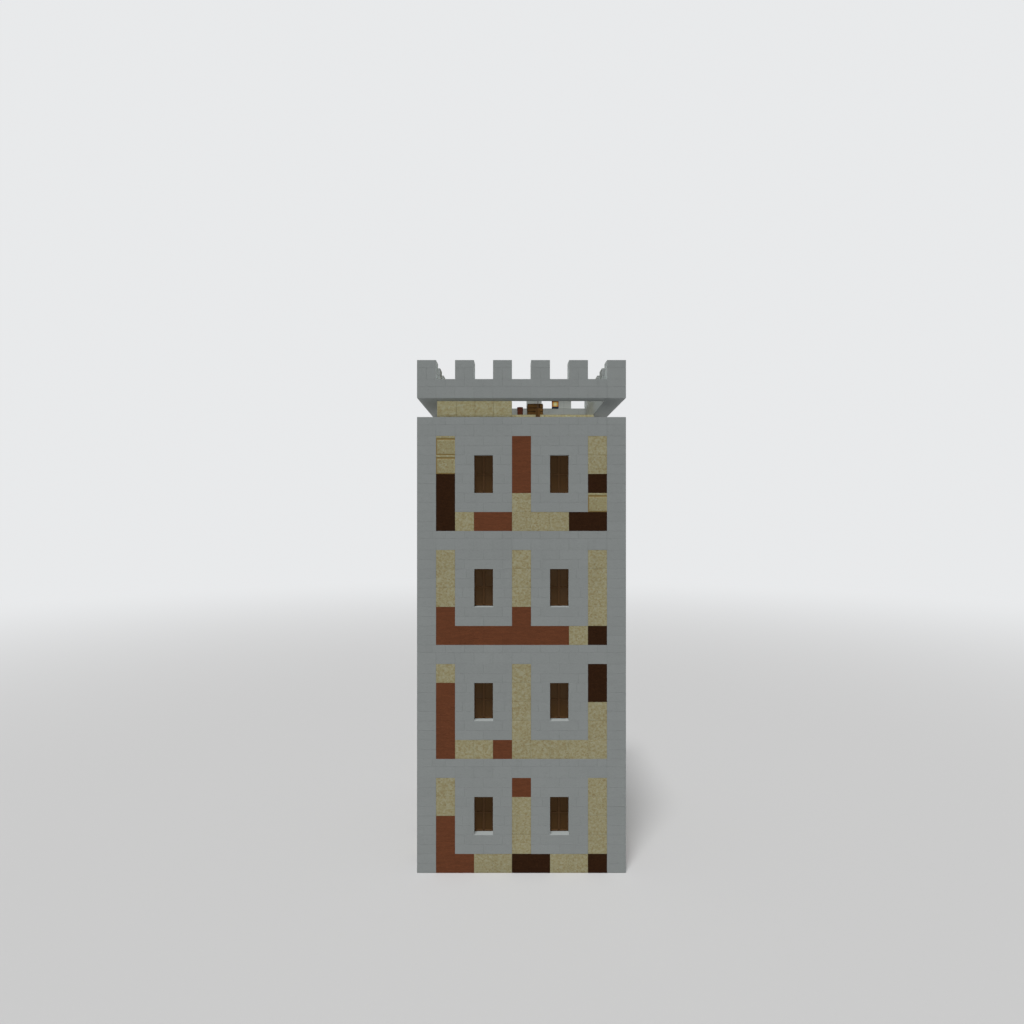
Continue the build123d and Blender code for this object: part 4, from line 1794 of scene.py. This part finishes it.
@dataclass
class RoofTerrace:
    """The raised sandstone terrace and the grey paving of the sunken corner.

    Args:
        cut: how the terrace blocks are cut.
        flag: how the flagstones are cut.
        flags: the number of flagstones each way.
        flag_thickness: their thickness.
        flag_bed: how far the slab under them stands down.
    """

    cut: Cut = Cut(joint=0.004, rounding=0.011, recess=0.016, relief=0.009, wave=0.35, cells=(9, 9, 9))
    flag: Cut = Cut(joint=0.006, rounding=0.006, relief=0.003, wave=0.4, cells=(6, 6, 3))
    flags: int = 8
    flag_thickness: float = 0.05
    flag_bed: float = 0.008

    def terrace(self) -> Shell:
        """Lays the blocks of both arms of the terrace, one course high.

        Returns:
            The blocks and their mortar, with painted fill light on the mortar only low down.
        """
        # Painted fill light on the four sides of every block.
        work = Masonry(self.cut, Seed.TERRACE.value, dict.fromkeys(FACES[:2] + FACES[3:5], 1.0))
        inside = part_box("terrace_back")[0].y - SET.block / 2
        for node, open_left, open_right in (("terrace_left", np.inf, inside),
                                            ("terrace_back", -np.inf, np.inf)):
            low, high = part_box(node)
            xs, ys = ([start, *steps(round(2 * start) / 2 + 1.0, end - 1.0), end]
                      for start, end in ((low.x, high.x), (low.y, high.y)))
            for x0, x1 in zip(xs, xs[1:]):
                for y0, y1 in zip(ys, ys[1:]):
                    bare = Face.TOP
                    for face, shows in ((Face.LEFT, x0 == low.x and y0 < open_left),
                                        (Face.RIGHT, x1 == high.x and y0 < open_right),
                                        (Face.FRONT, y0 == low.y), (Face.BACK, y1 == high.y)):
                        bare |= face if shows else Face.NONE
                    work.stone((x0, y0, low.z), (x1, y1, high.z), bare)
            work.bed((low.x, low.y, low.z), (high.x, high.y, high.z), ROUND_ABOUT | Face.TOP)
        shell = work.shell()
        mortar = shell.marks["bed"] > 0.5
        # Painted fill light on the mortar's points in the lower half of the course, so its joints in shade
        # don't show dark.
        shell.marks["shelter"][mortar] = shell.points[mortar, 2] < SET.terrace - SET.block / 2
        return shell

    def paving(self) -> Shell:
        """Lays the flagstones of the sunken corner on the slab.

        Returns:
            The flagstones and the slab.
        """
        work = Masonry(self.flag, Seed.PAVING.value)
        low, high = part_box("roof_slab")
        left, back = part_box("terrace_left")[1].x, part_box("terrace_back")[0].y
        xs = np.linspace(left, high.x, self.flags + 1)
        ys = np.linspace(low.y, back, self.flags + 1)
        for x0, x1 in zip(xs, xs[1:]):
            for y0, y1 in zip(ys, ys[1:]):
                work.stone((x0, y0, high.z - self.flag_thickness), (x1, y1, high.z), Face.TOP)
        top = (high.x, high.y, high.z - self.flag_bed)
        return Shell.joined([work.shell(), plain_boxes(np.array([low]), np.array([top]), np.array([0.5]))])

    def build(self) -> None:
        """Makes the terrace and the paving, and dresses the floors."""
        floor = FLOOR_STONE.build()
        put("terrace_blocks", self.terrace(), TERRACE_STONE.build(),
            ["terrace_left", "terrace_back"])
        put("roof_paving", self.paving(), floor, ["roof_slab"])
        dress("ground_floor", floor)
        dress("upper_floors", floor)


@dataclass
class Crate:
    """The boarded crate: four boards up each side, butted at places that differ from row to row, and a lid.

    Args:
        rows: boards up a side.
        board, lid: the thickness of the boards and of the lid's.
        butts: where each row's boards meet, as shares of its length.
        cut, lid_cut: how the boards and the lid's are cut.
        lining: how far the lining stays under the lid's top.
        nail, nail_in: the radius and height of a nail's head, and how far it is from a board's end.
        nail_rows: the heights of the nails in a board, as shares of its own.
    """

    rows: int = 4
    board: float = 0.03
    lid: float = 0.04
    butts: tuple[float, ...] = (0.62, 0.26, 0.78, 0.44)
    cut: Cut = Cut(joint=0.030, rounding=0.014, recess=0.014, relief=0.0025, wave=0.5, cells=(9, 3, 5))
    lid_cut: Cut = Cut(joint=0.008, rounding=0.004, relief=0.0025, wave=0.5, cells=(5, 9, 3))
    lining: float = 0.012
    nail: Pair = (0.007, 0.003)
    nail_in: float = 0.05
    nail_rows: Pair = (0.28, 0.72)

    def side_boards(self, side: Side, half: float, foot: float, pitch: float) -> Shell:
        """Lays the boards of one side; those at the front and back cover the others' ends.

        Args:
            side: the side.
            half: half the crate's width.
            foot: its foot.
            pitch: a board's height.

        Returns:
            The boards, in the front's place.
        """
        work = Masonry(self.cut, Seed.CRATE.on(side))
        span = half if side in (Side.FRONT, Side.BACK) else half - self.board
        for row in range(self.rows):
            height = (foot + row * pitch, foot + row * pitch + pitch)
            butt = -span + 2 * span * self.butts[(row + work.draw.integers(4)) % self.rows]
            work.course([-span, butt, span], (-half, -half + self.board), height, Face.FRONT, Face.LEFT,
                        Face.RIGHT)
        return work.shell()

    def nails(self, half: float, foot: float, pitch: float) -> Shell:
        """Makes low round nail heads near both ends of the front's boards, each a small turned body.

        Args:
            half: half the crate's width.
            foot: its foot.
            pitch: a board's height.

        Returns:
            The nails.
        """
        radius, rise = self.nail
        profile = [(radius, -0.004), (radius, rise * 0.3), (radius * 0.7, rise * 0.8), (radius * 0.3, rise)]
        head = turned_body(profile, 8)
        head.points = head.points[:, (0, 2, 1)] * np.array((1.0, -1.0, 1.0))
        return Shell.joined(head.moved(x, -half + rise + 0.001, foot + (row + z) * pitch)
                            for row in range(self.rows)
                            for x in (-half + self.nail_in, half - self.nail_in)
                            for z in self.nail_rows)

    def build(self) -> None:
        """Makes the crate and its nails."""
        wood = PLANK_WOOD.build()
        low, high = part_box("crate")
        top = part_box("crate_lid")[1].z
        half, pitch = (high.x - low.x) / 2, (high.z - low.z) / self.rows
        centre = ((low.x + high.x) / 2, (low.y + high.y) / 2, 0.0)
        lid, edges = Masonry(self.lid_cut, Seed.CRATE_LID.value), np.linspace(-half, half, self.rows + 1)
        for x0, x1 in zip(edges, edges[1:]):
            lid.stone((x0, -half, top - self.lid), (x1, half, top), THROUGH | Face.TOP)
        inner = half - self.cut.recess
        lining = plain_boxes(np.array([(-inner, -inner, low.z)]),
                             np.array([(inner, inner, top - self.lining)]), np.array([0.5]))
        boards = all_round(lambda side: self.side_boards(side, half, low.z, pitch))
        put("crate_boards", Shell.joined([boards, lid.shell(), lining]).moved(*centre), wood,
            ["crate", "crate_lid"])
        nails = all_round(lambda side: self.nails(half, low.z, pitch))
        put("crate_nails", nails.moved(*centre), IRON.build(), [])


@dataclass
class LanternPost:
    """The timber post and the iron foot plate, upright and arm on it.

    Args:
        timber, iron: how the post and the iron bars are cut.
        bar_side, plate: the side of the bars, and the foot plate's thickness.
        bolt, bolt_in: a bolt's radius and height, and how far it stands from the plate's edges.
    """

    timber: Cut = Cut(joint=0.0, rounding=0.014, relief=0.004, wave=0.5, cells=(7, 7, 16))
    iron: Cut = Cut(joint=0.0, rounding=0.004, relief=0.001, wave=0.12, cells=(3, 3, 3))
    bar_side: float = 0.04
    plate: float = 0.012
    bolt: Pair = (0.011, 0.009)
    bolt_in: float = 0.026

    def bracket(self) -> Shell:
        """Makes the foot plate with four hexagonal bolts, the upright and the arm.

        Returns:
            The ironwork.
        """
        low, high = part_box("lantern_bracket")
        post_low, post_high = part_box("lantern_post")
        x, y, foot = (post_low.x + post_high.x) / 2, (post_low.y + post_high.y) / 2, post_high.z
        half, plate = self.bar_side / 2, (high.y - low.y) / 2
        work = Masonry(self.iron, Seed.BRACKET.value)
        work.stone((x - plate, y - plate, foot), (x + plate, y + plate, foot + self.plate), ALL_FACES)
        work.stone((x - half, y - half, foot), (x + half, y + half, high.z), ALL_FACES)
        work.stone((x - half, y - half, high.z - self.bar_side), (high.x, y + half, high.z), ALL_FACES)
        radius, rise = self.bolt
        profile = [(radius, -0.002), (radius, rise * 0.75), (radius * 0.8, rise)]
        reach = plate - self.bolt_in
        bolts = [turned_body(profile, 6, 0.3 * i).moved(x + i * reach, y + j * reach, foot + self.plate)
                 for i in (-1, 1) for j in (-1, 1)]
        return Shell.joined([work.shell(), *bolts])

    def build(self) -> None:
        """Makes the post and the bracket."""
        low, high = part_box("lantern_post")
        work = Masonry(self.timber, Seed.POST.value)
        work.stone(tuple(low), tuple(high), ROUND_ABOUT | Face.TOP)
        put("lantern_post_timber", work.shell(), POST_WOOD.build(), ["lantern_post"])
        put("lantern_bracket_iron", self.bracket(), IRON.build(), ["lantern_bracket"])


@dataclass
class Lantern:
    """The square lantern that hangs from the arm: tray, corner bars, glazed sides, hipped roof and rod.

    Args:
        side, bar_side: the sides of the tray and of the corner bars.
        tray, glass, plate, roof: the heights of tray, glazing, moulding and roof, from the foot up.
        eave, roof_top: how far the roof stands out, and half the side of its flat head.
        lamp: the radius and height of the lamp.
        rod: the radius of the rod; not used.
        rim, lip, mould: the outlines of the tray, its upper edge and the moulding, as places in from
            the side and heights.
        collar, hook: the outlines of the rod's ends, on the roof and at the arm, as radii and heights.
    """

    side: float = 0.375
    tray: float = 0.0625
    bar_side: float = 0.03
    glass: float = 0.30
    plate: float = 0.025
    roof: float = 0.095
    eave: float = 0.012
    roof_top: float = 0.065
    lamp: Pair = (0.07, 0.2)
    rod: float = 0.011
    rim: tuple[Pair, ...] = ((0.008, 0.0), (0.002, 0.002), (0.0, 0.006), (0.0, 0.022), (0.005, 0.027),
                             (0.004, 0.034), (0.0, 0.040), (0.0, 0.054), (0.004, 0.059), (0.012, 0.0615))
    lip: tuple[Pair, ...] = ((0.004, -0.002), (0.002, 0.001), (0.006, 0.004), (0.03, 0.004))
    mould: tuple[Pair, ...] = ((0.03, -0.002), (0.004, -0.002), (0.0, 0.004), (0.0, 0.012), (0.006, 0.018),
                               (0.003, 0.022), (0.0, 0.025))
    collar: tuple[Pair, ...] = ((0.036, -0.002), (0.036, 0.010), (0.030, 0.016), (0.022, 0.024),
                                (0.011, 0.034))
    hook: tuple[Pair, ...] = ((0.011, -0.030), (0.018, -0.026), (0.020, -0.014), (0.018, -0.002),
                              (0.011, 0.004))

    def _square(self, outline: Sequence[Pair], foot: float) -> Shell:
        """A body of square plan, from places in from the lantern's side and heights above a foot."""
        return square_body([(self.side / 2 - inset, foot + rise) for inset, rise in outline])

    def base(self) -> Shell:
        """The dark tray: a plate with a rolled rim, as squares of varying width."""
        return self._square(self.rim, 0.0)

    def housing(self, arm: float) -> Shell:
        """Makes the upper tray, corner bars, moulding, roof, collar and rod, from the lantern's foot.

        The roof's half width goes from eave to head by 1 - (1 - u) ** 1.7, with u its height.

        Args:
            arm: the height of the arm's underside above the foot.

        Returns:
            The housing.
        """
        half, foot, head = self.side / 2, self.tray, self.tray + self.glass
        bars = [self._corner_bar(i, j, half, foot, head) for i in (-1, 1) for j in (-1, 1)]
        rails = [self._rail(quarter, half, z) for quarter in range(4) for z in (foot + 0.008, head - 0.006)]
        eave, top = half + self.eave, head + self.plate
        curve = [(eave + (self.roof_top - eave) * (1 - (1 - u) ** 1.7), top + 0.010 + (self.roof - 0.010) * u)
                 for u in np.linspace(0.0, 1.0, 9)]
        roof = square_body([(eave - 0.02, top - 0.001), (eave, top + 0.002), *curve])
        ends = ((top + self.roof, self.collar), (arm, self.hook))
        rod = turned_body([(r, start + z) for start, outline in ends for r, z in outline], 20)
        lip, mould = self._square(self.lip, foot), self._square(self.mould, head)
        return Shell.joined([lip, *bars, *rails, mould, roof, rod])

    def _corner_bar(self, i: int, j: int, half: float, foot: float, head: float) -> Shell:
        """Makes one corner bar: an angle with a bevelled corner, carried up.

        Args:
            i: -1 on the left, 1 on the right.
            j: -1 in front, 1 behind.
            half: half the lantern's side.
            foot: the bar's foot.
            head: its head.

        Returns:
            The bar.
        """
        b, c = self.bar_side, 0.005
        section = [(half - b, half), (half - c, half), (half, half - c), (half, half - b),
                   (half - b * 0.45, half - b), (half - b, half - b * 0.45)]
        return bar([(i * u, j * v) for u, v in section], 2, foot, head)

    def _rail(self, quarter: int, half: float, z: float) -> Shell:
        """Makes one thin glazing rail between two corner bars.

        Args:
            quarter: the quarter turns that bring it to its side.
            half: half the lantern's side.
            z: its height.

        Returns:
            The rail.
        """
        section = [(-half + 0.009, z - 0.006), (-half + 0.021, z - 0.006), (-half + 0.021, z + 0.006),
                   (-half + 0.009, z + 0.006), (-half + 0.006, z)]
        return bar(section, 0, -half + self.bar_side * 0.6, half - self.bar_side * 0.6).turned(quarter)

    def flame(self) -> Shell:
        """Makes the lamp, a cylinder with a round head: radius r cos t, height rising by sin t.

        Returns:
            The lamp, on its foot.
        """
        radius, height = self.lamp
        round_ = 0.6 * radius
        dome = [(radius - round_ + round_ * math.cos(t), height - round_ + round_ * math.sin(t))
                for t in np.linspace(0.0, 1.45, 9)]
        return turned_body([(radius - 0.004, 0.0), (radius, 0.004), *dome, (0.012, height)], 28)

    def build(self) -> None:
        """Makes the lantern and dresses its panes."""
        low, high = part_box("lantern_frame")
        centre = ((low.x + high.x) / 2, (low.y + high.y) / 2, low.z)
        put("lantern_housing", self.housing(high.z - low.z).moved(*centre), BRONZE.build(),
            ["lantern_frame"], 28.0)
        put("lantern_base_plate", self.base().moved(*centre), BASE_IRON.build(), [], 28.0)
        lamp_foot, lamp_head = (corner.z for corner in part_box("lantern_lamp"))
        put("lantern_flame", self.flame().moved(*centre[:2], lamp_foot),
            replace(LAMP_GLOW, rise=(lamp_foot, lamp_head)).build(), ["lantern_lamp"], 40.0)
        flame = (centre[0], centre[1], low.z + self.tray + self.glass / 2)
        dress("lantern_glass", replace(AMBER_GLASS, flame=flame).build())


@dataclass
class ClayPot:
    """The clay pot: a straight wall, a stepped rim with rounded lips, and faint rings from the wheel.

    Args:
        height, rim_height: the heights of the pot and its rim.
        rim, body: the outer radii of rim and wall.
        wall, floor: the thickness of wall and floor.
        throwing: how deep the rings of the wheel are.
    """

    height: float = 0.475
    rim: float = 0.1875
    body: float = 0.178
    rim_height: float = 0.07
    wall: float = 0.026
    floor: float = 0.03
    throwing: float = 0.0014

    def build(self) -> None:
        """Makes the pot; its wall's radius is the body's less a small sine of the height."""
        low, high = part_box("pot")
        shoulder, lip = self.height - self.rim_height, self.body - self.wall
        z = np.linspace(0.014, shoulder - 0.006, 34)
        outside = self.body - self.throwing * (1 + np.sin(z * 210.0))
        profile = [(self.body - 0.014, 0.0), (self.body - 0.005, 0.003), *zip(outside, z),
                   (self.body, shoulder), (self.rim - 0.003, shoulder + 0.001), (self.rim, shoulder + 0.005),
                   (self.rim, self.height - 0.010), (self.rim - 0.003, self.height - 0.003),
                   (self.rim - 0.010, self.height), (lip + 0.008, self.height),
                   (lip + 0.002, self.height - 0.003), (lip, self.height - 0.008), (lip, self.floor + 0.012),
                   (lip - 0.012, self.floor)]
        pot = turned_body(profile, 48)
        pot = pot.moved((low.x + high.x) / 2, (low.y + high.y) / 2, low.z)
        put("clay_pot", pot, POT_CLAY.build(), ["pot"], 35.0)


# The studio


@dataclass
class Studio:
    """The pale floor, the soft light and the camera.

    Args:
        pale, floor, bounce: the colours behind the tower, of the floor, and of the light it sends up.
        sky: the strength of the light from all round.
        sun: the main lamp's strength, the turns that aim it, in degrees, and its softness.
        ring: the strengths of eight lamps round the tower, from the front one on, which shine up.
        ring_tilts, ring_softness: their tilts, in line with the walls and the corners, and softness.
        eye, lens: the camera's place, and its lens for a 36 mm sensor.
        near: where the floor starts to fade into the background, and where it has done so.
        reach, level, spokes: the floor's radius and height, and its corners in each ring.
    """

    pale: Colour = (0.81, 0.82, 0.83)
    floor: Colour = (0.58, 0.58, 0.58)
    bounce: Colour = (0.35, 0.35, 0.35)
    sky: float = 0.22
    sun: tuple[float, float, float, float] = (2.7, 18.5, -12.0, 14.0)
    ring: tuple[float, ...] = (0.92, 0.3, 0.8, 0.3, 0.8, 0.3, 0.8, 0.45)
    ring_tilts: Pair = (97.5, 99.0)
    ring_softness: float = 7.0
    eye: Corner = (-0.5, -40.62, 19.0)
    lens: float = 23.46
    near: Pair = (26.0, 150.0)
    reach: float = 900.0
    level: float = -0.003
    spokes: int = 96

    def background(self) -> None:
        """The world: pale to the camera, in gloss and through glass, and an even light for the rest."""
        world = bpy.data.worlds.new("studio")
        bpy.context.scene.world = world
        world.use_nodes = True
        recipe = Recipe(world.node_tree)
        pale = recipe.node("ShaderNodeBackground", None, {"Color": self.pale, "Strength": 1.0})
        even = recipe.node("ShaderNodeBackground", None, {"Color": (1.0, 1.0, 1.0), "Strength": self.sky})
        recipe.node("ShaderNodeOutputWorld", None, {"Surface": recipe.mixed(recipe.seen(), even, pale)})

    def ground(self) -> None:
        """A round floor, (r cos t, r sin t, 0), which fades into the background with the distance."""
        radii = (0.5, *np.geomspace(4.0, self.reach, 24))
        rings = circles([(r, self.level) for r in radii], self.spokes)
        ids, quads = ring_lattice(len(radii), self.spokes)
        mesh = Shell(rings.reshape(-1, 3), [quads, ids[:1]]).mesh("studio_floor", 40.0)
        material, recipe = new_material("studio_floor")
        away = Term(recipe, recipe.vector("LENGTH", {0: recipe.place()}, "Value"))
        seen = recipe.seen()
        cloth = recipe.node("ShaderNodeBsdfDiffuse", None,
                            {"Color": recipe.blend(seen, self.bounce, self.floor)})
        glow = recipe.node("ShaderNodeEmission", None, {"Color": self.pale,
                                                        "Strength": seen * (1.0 - self.sky) + self.sky})
        recipe.node("ShaderNodeOutputMaterial", None,
                    {"Surface": recipe.mixed(away.between(*self.near), cloth, glow)})
        mesh.materials.append(material)
        floor = placed("studio_floor", mesh)
        floor.visible_shadow = False

    def lamp(self, name: str, strength: float, tilt: float, turn: float, softness: float) -> None:
        """Adds a wide, soft lamp far away.

        Args:
            name: its name.
            strength: its strength.
            tilt: how far it leans towards the front, in degrees.
            turn: how far it swings to a side.
            softness: its width as seen from the tower.
        """
        light = bpy.data.lights.new(name, "SUN")
        light.energy = strength
        light.angle = math.radians(softness)
        placed(name, light).rotation_euler = (math.radians(tilt), 0.0, math.radians(turn))

    def camera(self) -> None:
        """The camera, level, looking along +Y."""
        lens = bpy.data.cameras.new("camera")
        lens.lens, lens.sensor_width, lens.clip_end = self.lens, 36.0, 4000.0
        camera = placed("camera", lens)
        camera.location = self.eye
        camera.rotation_euler = (math.pi / 2, 0.0, 0.0)
        bpy.context.scene.camera = camera

    def build(self) -> None:
        """Sets up everything round the tower."""
        bpy.context.scene.view_settings.view_transform = "Standard"
        self.camera()
        self.background()
        self.ground()
        self.lamp("key_light", *self.sun)
        for number, strength in enumerate(self.ring):
            self.lamp(f"ring_light_{number}", strength, self.ring_tilts[number % 2], 45.0 * number,
                      self.ring_softness)


def main() -> None:
    """Builds the studio and every piece, in order."""
    logging.basicConfig(level=logging.INFO, format="%(message)s")
    Studio().build()
    for part in (GreyFrame, Panels, Joinery, RoofTerrace, Crate, LanternPost, Lantern, ClayPot):
        part().build()


if __name__ == "__main__":
    main()
